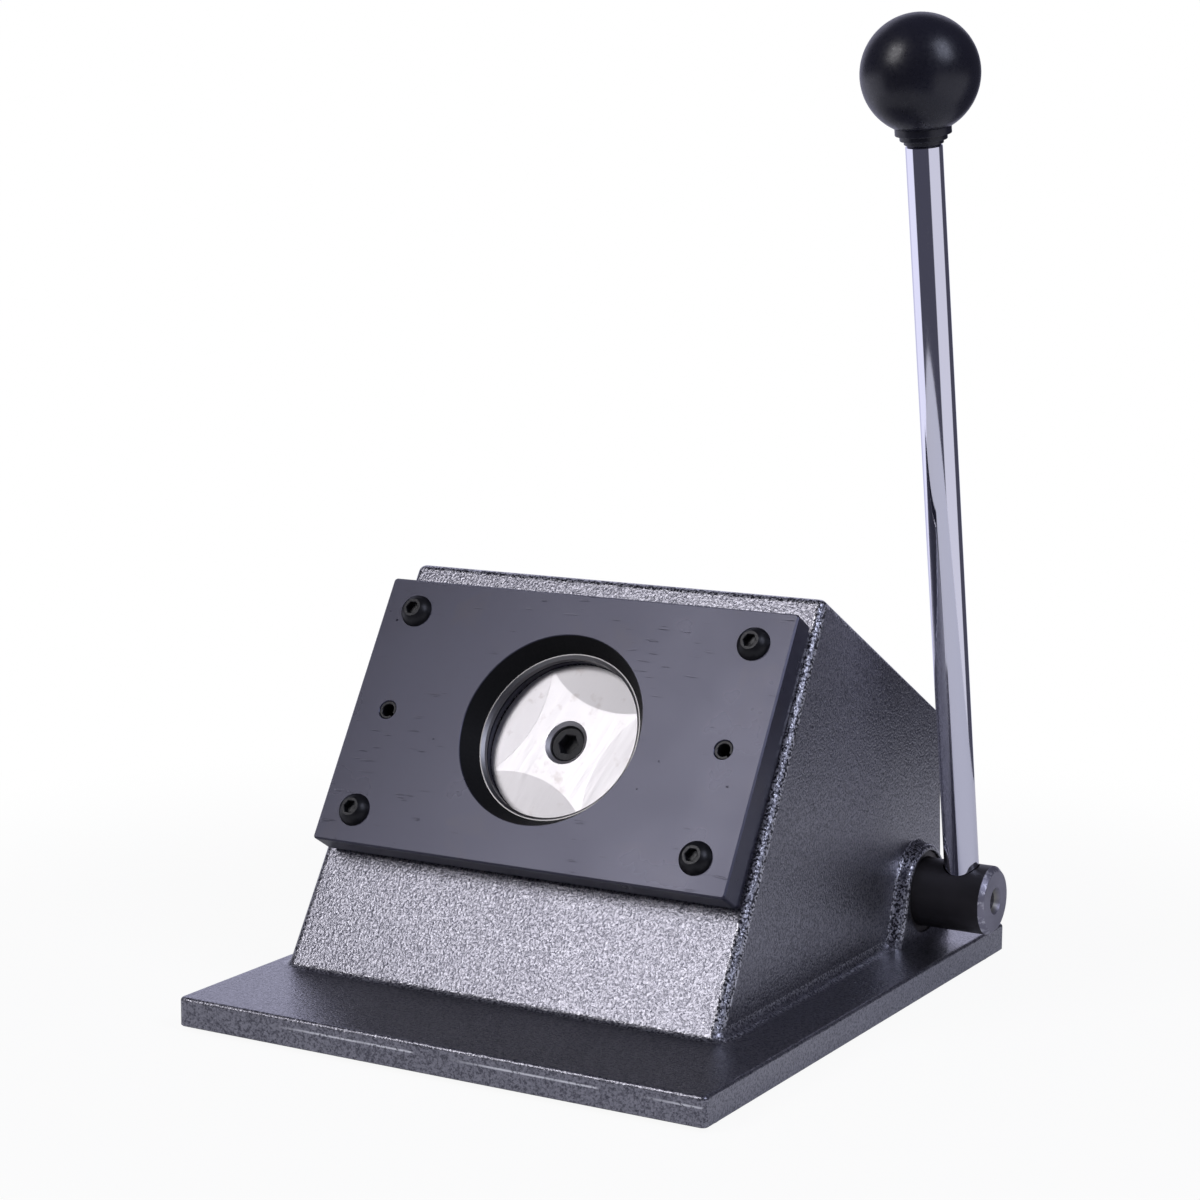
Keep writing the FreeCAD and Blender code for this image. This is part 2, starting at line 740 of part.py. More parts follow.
def pin_rings():
    """Open retaining rings of the roller pin."""
    solids = []
    for x in ring_places():
        outer = Part.makeCylinder(ring_outer_radius, ring_thickness, Vector(x, 0, roller_w), Vector(1, 0, 0))
        inner = Part.makeCylinder(roller_pin_radius - ring_groove_depth + press_gap, ring_thickness,
                                  Vector(x, 0, roller_w), Vector(1, 0, 0))
        mouth = Part.makeBox(ring_thickness, ring_outer_radius, roller_pin_radius,
                             Vector(x, 0, roller_w - roller_pin_radius / 2))
        solids.append(on_slope(outer.cut([inner, mouth])))
    return group(solids)


def cam_roller():
    """The roller, which turns on its pin and rolls on the cam."""
    half = roller_width / 2
    bore = roller_pin_radius + running_gap
    shoulder = half - roller_bevel
    rim = [(bore, -half), (roller_radius - roller_bevel, -half), (roller_radius, -shoulder),
           (roller_radius, shoulder), (roller_radius - roller_bevel, half), (bore, half)]
    roller = turned(rim)
    roller.rotate(Vector(0, 0, 0), Vector(0, 1, 0), 90)
    roller.translate(Vector(0, 0, roller_w))
    return on_slope(roller)


def spring_seat():
    """Loose washer between the spring and the ram's head."""
    return on_slope(turned([(ram_radius + running_gap, head_front), (spring_seat_radius, head_front),
                            (spring_seat_radius, spring_back), (ram_radius + running_gap, spring_back)]))


def arc_from(start, heading, end):
    """The arc that leaves start along heading and reaches end."""
    chord = end - start
    along = Vector(chord).normalize()
    side = heading - along * heading.dot(along)
    turn = atan2(side.Length, heading.dot(along))
    middle = (start + end) * 0.5 + Vector(side).normalize() * (chord.Length / 2 * tan(turn / 2))
    return Part.Arc(start, middle, end).toShape()


def helix_point(angle):
    """Wire centre at an angle from the front end, clear of both seats."""
    front = spring_front - spring_wire_radius - running_gap
    back = spring_back + spring_wire_radius + running_gap
    share = angle / (2 * pi * spring_turns)
    return Vector(spring_mean_radius * cos(angle), spring_mean_radius * sin(angle),
                  front + (back - front) * share)


def helix_heading(angle):
    """Direction of the wire at an angle from the front end."""
    ahead = helix_point(angle + pi / 2) - helix_point(angle - pi / 2)
    return Vector(ahead.x, ahead.y, ahead.z * 2 / pi).normalize()


def return_spring():
    """Round wire wound as a helix, each quarter turn as two arcs that meet in line."""
    steps = spring_arcs_per_turn * spring_turns
    edges = []
    for k in range(steps):
        a = 2 * pi * spring_turns * k / steps
        b = 2 * pi * spring_turns * (k + 1) / steps
        p, q = helix_point(a), helix_point(b)
        s, t = helix_heading(a), helix_heading(b)
        gap = q - p
        both = gap.dot(s + t)
        spread = 2 * (1 - s.dot(t))
        reach = (sqrt(both ** 2 + spread * gap.dot(gap)) - both) / spread
        joint = (p + q + (s - t) * reach) * 0.5
        first = arc_from(p, s, joint)
        edges += [first, arc_from(joint, heading_at(first), q)]
    section = Part.Wire([Part.makeCircle(spring_wire_radius, helix_point(0), helix_heading(0))])
    wire = Part.Wire(edges).makePipeShell([section], True, False)
    print("return spring: least gap between turns", round(spring_gap(), 3), "mm")
    return on_slope(wire)


def spring_gap():
    """Least distance between wire surfaces half a turn or more apart, on points of the wire centre."""
    count = 36 * spring_turns
    points = [helix_point(2 * pi * spring_turns * k / count) for k in range(count + 1)]
    least = min((points[a] - points[b]).Length for a in range(count + 1) for b in range(a + 18, count + 1))
    return least - 2 * spring_wire_radius


def heading_at(edge):
    """The direction in which an edge ends."""
    return Vector(edge.tangentAt(edge.LastParameter)).normalize()


def cam_outline():
    """The cam seen along X, with local +Z pointing at the roller at rest.

    The roller's centre moves out in step with the turn, so the face is the curve that lies one
    roller radius inside the spiral rho = base + rise * angle.
    """
    first = -radians(cam_lead)
    last = radians(lever_travel + cam_lead)
    base = cam_base_radius + roller_radius
    points = []
    for k in range(cam_face_points):
        turn = first + (last - first) * k / (cam_face_points - 1)
        rho = base + lever_rise * turn
        length = hypot(rho, lever_rise)
        y = rho * sin(turn) - roller_radius * (rho * sin(turn) - lever_rise * cos(turn)) / length
        z = rho * cos(turn) - roller_radius * (rho * cos(turn) + lever_rise * sin(turn)) / length
        points.append(Vector(0, y, z))
    face = Part.BSplineCurve()
    face.interpolate(points)
    low = flank_touch(points[0], -1)
    high = flank_touch(points[-1], 1)
    middle = (atan2(low.y, low.z) + atan2(high.y, high.z)) / 2 + pi
    back = Vector(0, cam_hub_radius * sin(middle), cam_hub_radius * cos(middle))
    return Part.Wire([
        face.toShape(),
        Part.makeLine(points[-1], high),
        Part.Arc(high, back, low).toShape(),
        Part.makeLine(low, points[0]),
    ])


def flank_touch(point, side):
    """Where a straight flank from a point outside the hub circle touches it, on the given side."""
    distance = hypot(point.y, point.z)
    angle = atan2(point.y, point.z) + side * acos(cam_hub_radius / distance)
    return Vector(0, cam_hub_radius * sin(angle), cam_hub_radius * cos(angle))


def key_bar(clearance):
    """The cam's key, its seat when widened, at the lever's angle."""
    half = key_width / 2 + clearance
    length = key_length + 2 * clearance
    inner = shaft_radius - key_seat
    bar = Part.makeBox(length, 2 * half, key_height + clearance,
                       Vector(body_offset_x - length / 2, -half, inner))
    return about_shaft(bar, lever_angle)


def cam_screw_bar(radius, r0, r1):
    """A radial cylinder where the cam's set screw sits, opposite the key."""
    bar = round_bar(radius, r0, r1, body_offset_x + cam_screw_x)
    return about_shaft(bar, lever_angle + 180)


def radial_socket(x, angle, r_top):
    """A hex socket that goes down from a radius towards the shaft."""
    socket = hexagon(set_screw_socket_across, r_top - set_screw_socket_depth, r_top + 1)
    socket.translate(Vector(x, 0, 0))
    return about_shaft(socket, angle)


def cam():
    """Plate cam with a long hub, keyed to the shaft."""
    plate = Part.Face(cam_outline()).extrude(Vector(cam_width, 0, 0))
    plate.translate(Vector(-cam_width / 2, 0, shaft_w))
    hub = Part.makeCylinder(cam_hub_radius, cam_hub_length,
                            Vector(-cam_hub_length / 2, 0, shaft_w), Vector(1, 0, 0))
    body = on_slope(plate.fuse(hub).removeSplitter())
    bore = rod_x(shaft_radius + running_gap, body_offset_x - cam_hub_length,
                 body_offset_x + cam_hub_length)
    keyway = about_shaft(
        Part.makeBox(2 * cam_hub_length, key_width + 2 * press_gap, key_height + press_gap,
                     Vector(body_offset_x - cam_hub_length, -key_width / 2 - press_gap,
                            shaft_radius - key_seat)), lever_angle)
    return body.cut([bore, keyway, cam_screw_bar(set_screw_radius + screw_gap, 0, cam_hub_radius + 1)])


def cam_key():
    """Square ended key between shaft and cam."""
    return key_bar(0)


def cam_set_screw():
    """Set screw of the cam's hub."""
    top = cam_hub_radius - rest_gap
    screw = cam_screw_bar(set_screw_radius, shaft_radius, top)
    return screw.cut(radial_socket(body_offset_x + cam_screw_x, lever_angle + 180, top))


def rod_along_lever(radius, r0, r1):
    """A cylinder along the lever's line, between two distances from the shaft's axis."""
    return about_shaft(round_bar(radius, r0, r1, lever_x), lever_angle)


def cross_shaft():
    """The lever's axle: chamfered ends, key seat, centre hole, and a spot face with a hole for the lever."""
    shaft = rod_x(shaft_radius, shaft_left_x, shaft_right_x)
    ends = [e for e in shaft.Edges if e.Curve.TypeId == "Part::GeomCircle"]
    shaft = shaft.makeChamfer(shaft_chamfer, ends)
    centre_hole = Part.makeCone(centre_hole_radius, 0, centre_hole_depth,
                                Vector(shaft_right_x, shaft_y, shaft_z), Vector(-1, 0, 0))
    seat = rod_along_lever(spot_face_radius, spot_face_height, shaft_radius + 1)
    hole = rod_along_lever(rod_spigot_radius + running_gap, spot_face_height - rod_spigot_depth - rest_gap,
                           shaft_radius + 1)
    return shaft.cut([centre_hole, seat, hole, key_bar(press_gap)])


def shaft_bush_right():
    """Plain bush pressed into the lever boss."""
    return tube_x(bush_radius, shaft_radius + running_gap, boss_inner_x, boss_face_x - bush_sink)


def shaft_bush_left():
    """Plain bush pressed into the blind bore of the left wall."""
    return tube_x(bush_radius, shaft_radius + running_gap, left_bore_end_x, left_boss_x)


def stop_pin():
    """Pin pressed into the stop boss, standing between the collar's lugs."""
    pin_y, pin_z = stop_pin_place()
    return rod_x(stop_pin_radius, collar_x, boss_inner_x + stop_pin_seat - rest_gap, pin_y, pin_z)


def lug_starts():
    """Where the collar's two stop lugs begin, as angles at rest: one ends the pull, one the return."""
    margin = degrees(asin((stop_pin_radius + rest_gap) / stop_pin_orbit))
    return (stop_pin_angle - lever_travel - margin - lug_angle, stop_pin_angle + margin)


def stop_collar():
    """Collar on the shaft whose two lugs meet the stop pin at the ends of the lever's travel."""
    collar = rod_x(collar_hub_radius, collar_x, collar_x + collar_width)
    for start in lug_starts():
        ring = face_of([(shaft_radius, 0, 0), (collar_radius, 0, 0),
                        (collar_radius, 0, collar_width), (shaft_radius, 0, collar_width)])
        lug = ring.revolve(Vector(0, 0, 0), Vector(0, 0, 1), lug_angle)
        lug.rotate(Vector(0, 0, 0), Vector(0, 1, 0), 90)
        lug.rotate(Vector(0, 0, 0), Vector(1, 0, 0), start + 90)
        lug.translate(Vector(collar_x, shaft_y, shaft_z))
        collar = collar.fuse(lug)
    bore = rod_x(shaft_radius + running_gap, collar_x - 1, collar_x + collar_width + 1)
    hole = about_shaft(round_bar(set_screw_radius + screw_gap, 0, collar_radius + 1,
                                 collar_x + collar_width / 2), lug_starts()[1] + lug_angle / 2)
    return collar.removeSplitter().cut([bore, hole])


def collar_set_screw():
    """Set screw in one of the collar's lugs."""
    x = collar_x + collar_width / 2
    angle = lug_starts()[1] + lug_angle / 2
    top = collar_radius - rest_gap
    screw = about_shaft(round_bar(set_screw_radius, shaft_radius, top, x), angle)
    return screw.cut(radial_socket(x, angle, top))


def thrust_washer():
    """Washer between the collar and the lever boss."""
    x = collar_x + collar_width
    return tube_x(washer_radius, shaft_radius + running_gap, x, x + washer_thickness)


def lever_rod():
    """Plated rod: spigot in the shaft, shoulder on the spot face, and a thinner end inside the ball."""
    top = ball_distance - neck_end_height
    end = ball_distance + ball_thread_past_centre
    low = spot_face_height - rod_spigot_depth
    rod = turned([(0, low), (rod_spigot_radius, low), (rod_spigot_radius, spot_face_height),
                  (rod_radius - rod_chamfer, spot_face_height),
                  (rod_radius, spot_face_height + rod_chamfer),
                  (rod_radius, top - rod_chamfer), (rod_radius - rod_chamfer, top),
                  (rod_spigot_radius, top), (rod_spigot_radius, end), (0, end)])
    rod.translate(Vector(lever_x, 0, 0))
    return about_shaft(rod, lever_angle)


def ball_knob():
    """Ball grip with a stepped neck, screwed on the rod."""
    waist = -sqrt(ball_radius ** 2 - neck_flange_radius ** 2)
    bore = rod_spigot_radius + running_gap
    depth = ball_thread_past_centre + rest_gap
    corners = [(neck_flange_radius, waist), (neck_flange_radius, -neck_flange_height),
               (neck_step_radius, -neck_flange_height), (neck_step_radius, -neck_step_height),
               (neck_tip_radius, -neck_step_height), (neck_tip_radius, -neck_end_height),
               (bore, -neck_end_height), (bore, depth), (0, depth), (0, ball_radius)]
    points = [Vector(r, 0, h) for r, h in corners]
    sides = [Part.makeLine(a, b) for a, b in zip(points, points[1:])]
    globe = Part.Arc(points[-1], Vector(ball_radius, 0, 0), points[0]).toShape()
    ball = Part.Face(Part.Wire(sides + [globe])).revolve(Vector(0, 0, 0), Vector(0, 0, 1), 360)
    ball.translate(Vector(lever_x, 0, ball_distance))
    return about_shaft(ball, lever_angle)


pieces = {
    "frame_casting": frame_casting(),
    "base_cover": base_cover(),
    "cover_screws": cover_screws(),
    "foot_pads": foot_pads(),
    "die_plate": die_plate(),
    "stripper_plate": stripper_plate(),
    "spacer_left": spacer(-1),
    "spacer_right": spacer(1),
    "die_screws": die_screws(),
    "locating_pins": locating_pins(),
    "punch": punch(),
    "punch_screw": punch_screw(),
    "ram": ram(),
    "guide_bush": guide_bush(),
    "guide_key_screw": guide_key_screw(),
    "return_spring": return_spring(),
    "spring_seat": spring_seat(),
    "cam_roller": cam_roller(),
    "roller_pin": roller_pin(),
    "pin_rings": pin_rings(),
    "cam": cam(),
    "cam_key": cam_key(),
    "cam_set_screw": cam_set_screw(),
    "cross_shaft": cross_shaft(),
    "shaft_bush_right": shaft_bush_right(),
    "shaft_bush_left": shaft_bush_left(),
    "stop_collar": stop_collar(),
    "collar_set_screw": collar_set_screw(),
    "stop_pin": stop_pin(),
    "thrust_washer": thrust_washer(),
    "lever_rod": lever_rod(),
    "ball_knob": ball_knob(),
}

os.makedirs("parts", exist_ok=True)
for name, shape in pieces.items():
    shape.translate(Vector(0, 0, 0) - footprint_centre)
    shape.exportStep("parts/" + name + ".step")
print(len(pieces), "nodes, shaft axis at", shaft_centre - footprint_centre)
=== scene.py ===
import math

import bmesh
import bpy
import numpy as np
from bpy.props import FloatProperty, FloatVectorProperty, PointerProperty
from mathutils import Matrix, Vector


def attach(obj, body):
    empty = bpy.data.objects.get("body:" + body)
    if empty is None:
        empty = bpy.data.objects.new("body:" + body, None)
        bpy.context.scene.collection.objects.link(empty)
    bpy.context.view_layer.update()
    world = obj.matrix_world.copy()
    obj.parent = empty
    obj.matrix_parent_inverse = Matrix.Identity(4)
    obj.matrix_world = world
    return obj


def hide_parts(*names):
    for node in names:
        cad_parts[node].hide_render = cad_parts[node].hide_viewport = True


bl_info = {
    "name": "Badge circle cutter",
    "version": (1, 0, 0),
    "blender": (4, 5, 0),
    "location": "3D View > Sidebar > Cutter",
    "description": "Builds the finished surfaces of the slanted bench cutter round its CAD frame",
    "category": "Object",
}

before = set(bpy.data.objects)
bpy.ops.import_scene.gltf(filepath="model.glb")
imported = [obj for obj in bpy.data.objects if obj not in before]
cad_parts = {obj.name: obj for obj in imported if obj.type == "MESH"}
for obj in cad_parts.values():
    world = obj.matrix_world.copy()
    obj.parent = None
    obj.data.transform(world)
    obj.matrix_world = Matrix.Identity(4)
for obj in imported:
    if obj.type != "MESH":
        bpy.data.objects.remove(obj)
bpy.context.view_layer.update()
mm = 0.001

# The slope's own frame: across the die, up the slope, outwards from the body's face; and the roof's normal
LEAN = math.radians(31.0)
ACROSS = np.array([1.0, 0.0, 0.0])
UP_SLOPE = np.array([0.0, math.sin(LEAN), math.cos(LEAN)])
OUTWARD = np.array([0.0, -math.cos(LEAN), math.sin(LEAN)])
ROOF = np.array([0.0, 0.493, 0.870])
BODY_X = -18.55 * mm
BASE_TOP = 14.0 * mm
FOOT_Y = -82.65 * mm
REAR_Y = 131.95 * mm
DIE_CENTRE = np.array([BODY_X, FOOT_Y, BASE_TOP]) + 112.4 * mm * UP_SLOPE
STACK = 15.7 * mm
LAND = 36.8 * mm

# Heights inside the base: where the body's forms begin, the recess's top and the underside
HIDDEN_FOOT = 8.0 * mm
RECESS_TOP = 4.4 * mm
UNDERSIDE = 2.0 * mm

# The base's and the recess's corners, in millimetres
BASE = (-130.55, -141.25), (110.45, 141.25)
RECESS = (-109.05, -79.75), (71.95, 131.25)

# The cross shaft's axis and the lever's line from it
SHAFT = np.array([0.0, 102.1868 * mm, 34.0685 * mm])
LEVER_X = 106.55 * mm
LEVER_LEAN = math.radians(10.67)
ALONG_LEVER = np.array([0.0, -math.sin(LEVER_LEAN), math.cos(LEVER_LEAN)])
BESIDE_LEVER = np.array([0.0, math.cos(LEVER_LEAN), math.sin(LEVER_LEAN)])

# What glossy surfaces see of the room besides its dim walls:
# azimuth and width, lowest and highest elevation in degrees, softness, colour
ROOM_PATCHES = (
    (256.0, 100.0, -80.0, -1.0, 0.04, (0.85, 0.85, 1.0, 1)),
    (215.0, 60.0, -40.0, 40.0, 0.06, (0.60, 0.60, 0.78, 1)),
    (90.0, 76.0, -80.0, -1.0, 0.03, (0.66, 0.66, 0.74, 1)),
)
SOFT_LIGHT = (0.86, 0.86, 1.0, 1)
WHITE = (1, 1, 1, 1)

# The camera: azimuth from the front, elevation, roll and place
VIEW_AZIMUTH, VIEW_ELEVATION, VIEW_ROLL = math.radians(30.248), math.radians(8.4254), 0.0061992
VIEW_PLACE = Vector((0.559982, -0.989968, 0.336777))


# ---------------------------------------------------------------- shapes

def unit(v):
    """Vectors scaled to length one along the last axis."""
    return v / np.linalg.norm(v, axis=-1, keepdims=True)


def turn(count, start=0.0):
    """Evenly spaced angles of one full turn."""
    return start + np.arange(count) * (2 * np.pi / count)


def between(a, b, share):
    """Unit vectors on the great arc from a to b: the sine weighted sum of both at each share of the way."""
    whole = np.arccos(np.clip((a * b).sum(-1, keepdims=True), -1, 1))
    return (np.sin((1 - share) * whole) * a + np.sin(share * whole) * b) / np.sin(whole)


def rounded(corners, radii, steps, closed=False):
    """A polyline whose corners are arcs, as points and unit headings.

    At each corner the line leaves its first side one tangent length early and turns about a centre
    to its inner side: point = start + r sin(phi) ahead + r (1 - cos(phi)) inward.
    """
    p = np.array(corners, float)
    r = np.broadcast_to(np.array(radii, float), len(p))
    before, after = np.roll(p, 1, 0), np.roll(p, -1, 0)
    if not closed:
        before[0], after[-1] = 2 * p[0] - p[1], 2 * p[-1] - p[-2]
    ahead, leave = unit(p - before), unit(after - p)
    cross = ahead[:, 0] * leave[:, 1] - ahead[:, 1] * leave[:, 0]
    bend = np.arctan2(np.abs(cross), (ahead * leave).sum(1))
    inward = np.sign(cross)[:, None] * np.stack([-ahead[:, 1], ahead[:, 0]], 1)
    phi = (bend[:, None] * np.linspace(0, 1, steps + 1))[..., None]
    start = (p - ahead * (r * np.tan(bend / 2))[:, None])[:, None]
    points = start + r[:, None, None] * (np.sin(phi) * ahead[:, None] + (1 - np.cos(phi)) * inward[:, None])
    headings = np.cos(phi) * ahead[:, None] + np.sin(phi) * inward[:, None]
    return points.reshape(-1, 2), headings.reshape(-1, 2)


def rounded_rectangle(low, high, radius):
    """A rectangle in millimetres with rounded corners, anticlockwise, as points and headings."""
    (a, b), (c, d) = low, high
    return rounded(np.array([(a, b), (c, b), (c, d), (a, d)]) * mm, radius, 6, True)


def outward_of(headings):
    """Outward normals of a closed outline that runs anticlockwise: each heading turned a quarter right."""
    return np.stack([headings[:, 1], -headings[:, 0]], 1)


def raised(points, height):
    """Plane points lifted to a height, or each to its own."""
    column = np.broadcast_to(np.reshape(height, (-1, 1)), (len(points), 1))
    return np.hstack([points, column])


def ring_grid(rings, angles):
    """Rings of (radius, height) about an axis: (r cos(a), r sin(a), height). Rows follow the angles."""
    return np.stack([np.stack(np.broadcast_arrays(r * np.cos(angles), r * np.sin(angles), z), -1)
                     for r, z in rings], 1)


def lathe(profile, radii, count, steps=3):
    """A turned piece's grid: the profile's corners rounded, then carried round a full turn."""
    points, _ = rounded(profile, radii, steps)
    points[:, 0] = np.maximum(points[:, 0], 0)
    return ring_grid(points, turn(count))


def carried(grid, origin, x_axis, y_axis, z_axis):
    """Local coordinates written out along three axes from an origin."""
    return grid @ np.array([x_axis, y_axis, z_axis]) + origin


def on_slope(grid):
    """Coordinates (across, up, out) of the slope carried into the part's frame."""
    return carried(grid, DIE_CENTRE, ACROSS, UP_SLOPE, OUTWARD)


def about_shaft(grid):
    """Coordinates (y, z, x) about the shaft's axis carried into the part's frame."""
    return carried(grid, SHAFT, np.array([0.0, 1, 0]), np.array([0.0, 0, 1]), ACROSS)


def about_lever(grid):
    """Coordinates (beside, x, along) about the lever's line carried into the part's frame."""
    return carried(grid, SHAFT + LEVER_X * ACROSS, BESIDE_LEVER, ACROSS, ALONG_LEVER)


def quads_of(grid, wrap_rows=True, wrap_columns=False):
    """Points and four-cornered faces of a grid, joined round where it wraps."""
    rows, columns = grid.shape[:2]
    ids = np.arange(rows * columns).reshape(rows, columns)
    ids = np.vstack([ids, ids[:1]]) if wrap_rows else ids
    ids = np.hstack([ids, ids[:, :1]]) if wrap_columns else ids
    quads = np.stack([ids[:-1, :-1], ids[1:, :-1], ids[1:, 1:], ids[:-1, 1:]], -1)
    return grid.reshape(-1, 3), quads.reshape(-1, 4)


def together(*parts):
    """Several sets of points and faces as one."""
    offsets = np.cumsum([0] + [len(points) for points, _ in parts[:-1]])
    return (np.vstack([points for points, _ in parts]),
            np.vstack([quads + start for (_, quads), start in zip(parts, offsets)]))


def hole_turn(count):
    """A hole's angles and, for each, the number of the panel's corner that it faces, anticlockwise."""
    return turn(count, 1e-4), (np.arange(count) * 4) // count


def mesh_from(name, points, quads):
    """A mesh filled from whole arrays."""
    mesh = bpy.data.meshes.new(name)
    mesh.vertices.add(len(points))
    mesh.vertices.foreach_set("co", np.ascontiguousarray(points, np.float32).ravel())
    mesh.loops.add(quads.size)
    mesh.loops.foreach_set("vertex_index", quads.astype(np.int32).ravel())
    mesh.polygons.add(len(quads))
    mesh.polygons.foreach_set("loop_start", np.arange(len(quads), dtype=np.int32) * 4)
    mesh.update(calc_edges=True)
    return mesh


def build(name, shells, material, body, nodes, sharp=28.0):
    """One piece from closed shells, each welded at its seams and poles and turned outwards."""
    whole = bmesh.new()
    for points, quads in shells:
        part = mesh_from("shell", points, quads)
        shell = bmesh.new()
        shell.from_mesh(part)
        bmesh.ops.remove_doubles(shell, verts=shell.verts, dist=2e-7)
        bmesh.ops.dissolve_degenerate(shell, edges=shell.edges, dist=1e-8)
        bmesh.ops.recalc_face_normals(shell, faces=shell.faces)
        shell.to_mesh(part)
        shell.free()
        whole.from_mesh(part)
        bpy.data.meshes.remove(part)
    mesh = bpy.data.meshes.new(name)
    whole.to_mesh(mesh)
    whole.free()
    mesh.shade_smooth()
    mesh.set_sharp_from_angle(angle=math.radians(sharp))
    mesh.materials.append(material)
    piece = bpy.data.objects.new(name, mesh)
    bpy.context.scene.collection.objects.link(piece)
    weighted = piece.modifiers.new("Face weighted normals", "WEIGHTED_NORMAL")
    weighted.keep_sharp = True
    weighted.weight = 90
    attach(piece, body)
    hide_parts(*nodes)
    return piece


# ---------------------------------------------------------------- shader trees

class Tree:
    """A short way to write a shader's nodes: each call adds nodes and sets or links their inputs."""

    def __init__(self, owner, place="Object"):
        owner.use_nodes = True
        self.owner = owner
        self.nodes, self.links = owner.node_tree.nodes, owner.node_tree.links
        self.nodes.clear()
        self.place = self.add("TexCoord").outputs[place]

    def add(self, kind, inputs=None, **settings):
        made = self.nodes.new("ShaderNode" + kind)
        for key, value in settings.items():
            setattr(made, key, value)
        for key, value in (inputs or {}).items():
            if isinstance(value, bpy.types.NodeSocket):
                self.links.new(value, made.inputs[key])
            else:
                made.inputs[key].default_value = value
        return made

    def first(self, kind, inputs, **settings):
        """The first output of a new node."""
        return self.add(kind, inputs, **settings).outputs[0]

    def noise(self, scale, detail, rough, place=None, distortion=0.0):
        inputs = {"Vector": place or self.place, "Scale": scale, "Detail": detail,
                  "Roughness": rough, "Distortion": distortion}
        return self.add("TexNoise", inputs).outputs["Fac"]

    def spread(self, value, low, high, to_low=0.0, to_high=1.0, smooth=False):
        """A value carried from one range to another and held beyond its ends."""
        inputs = {"Value": value, "From Min": low, "From Max": high, "To Min": to_low, "To Max": to_high}
        kind = "SMOOTHSTEP" if smooth else "LINEAR"
        return self.add("MapRange", inputs, interpolation_type=kind).outputs["Result"]

    def below(self, value, low, high):
        """1 up to low, 0 from high."""
        return self.spread(value, low, high, 1.0, 0.0)

    def vary(self, noise, low, high):
        """The middle part of a noise carried from low to high."""
        return self.spread(noise, 0.3, 0.7, low, high)

    def tones(self, noise, colour, dark, pale):
        """A colour that a noise carries from a darker to a paler tone."""
        return self.mix(self.vary(noise, 0.0, 1.0), rgba(colour, dark), rgba(colour, pale))

    def calc(self, operation, a, b=0.0):
        return self.first("Math", {0: a, 1: b}, operation=operation)

    def sum(self, a, b):
        return self.calc("ADD", a, b)

    def times(self, product, *factors):
        for factor in factors:
            product = self.calc("MULTIPLY", product, factor)
        return product

    def radius(self, a, b):
        return self.calc("POWER", self.sum(self.times(a, a), self.times(b, b)), 0.5)

    def mix(self, share, a, b):
        return self.first("MixRGB", {0: share, 1: a, 2: b})

    def parts(self, vector=None):
        return self.add("SeparateXYZ", {0: vector or self.place}).outputs

    def bump(self, height, distance, strength=1.0):
        return self.first("Bump", {"Height": height, "Distance": distance, "Strength": strength})

    def surface(self, **inputs):
        named = {key.replace("_", " "): value for key, value in inputs.items()}
        return self.finish("OutputMaterial", self.first("BsdfPrincipled", named))

    def finish(self, kind, shader):
        self.add(kind, {0: shader})
        return self.owner


def material_tree(name):
    """The tree of a new material."""
    return Tree(bpy.data.materials.new(name))


def rgba(colour, gain=1.0):
    """A property's colour as four numbers, scaled."""
    return (colour[0] * gain, colour[1] * gain, colour[2] * gain, 1.0)


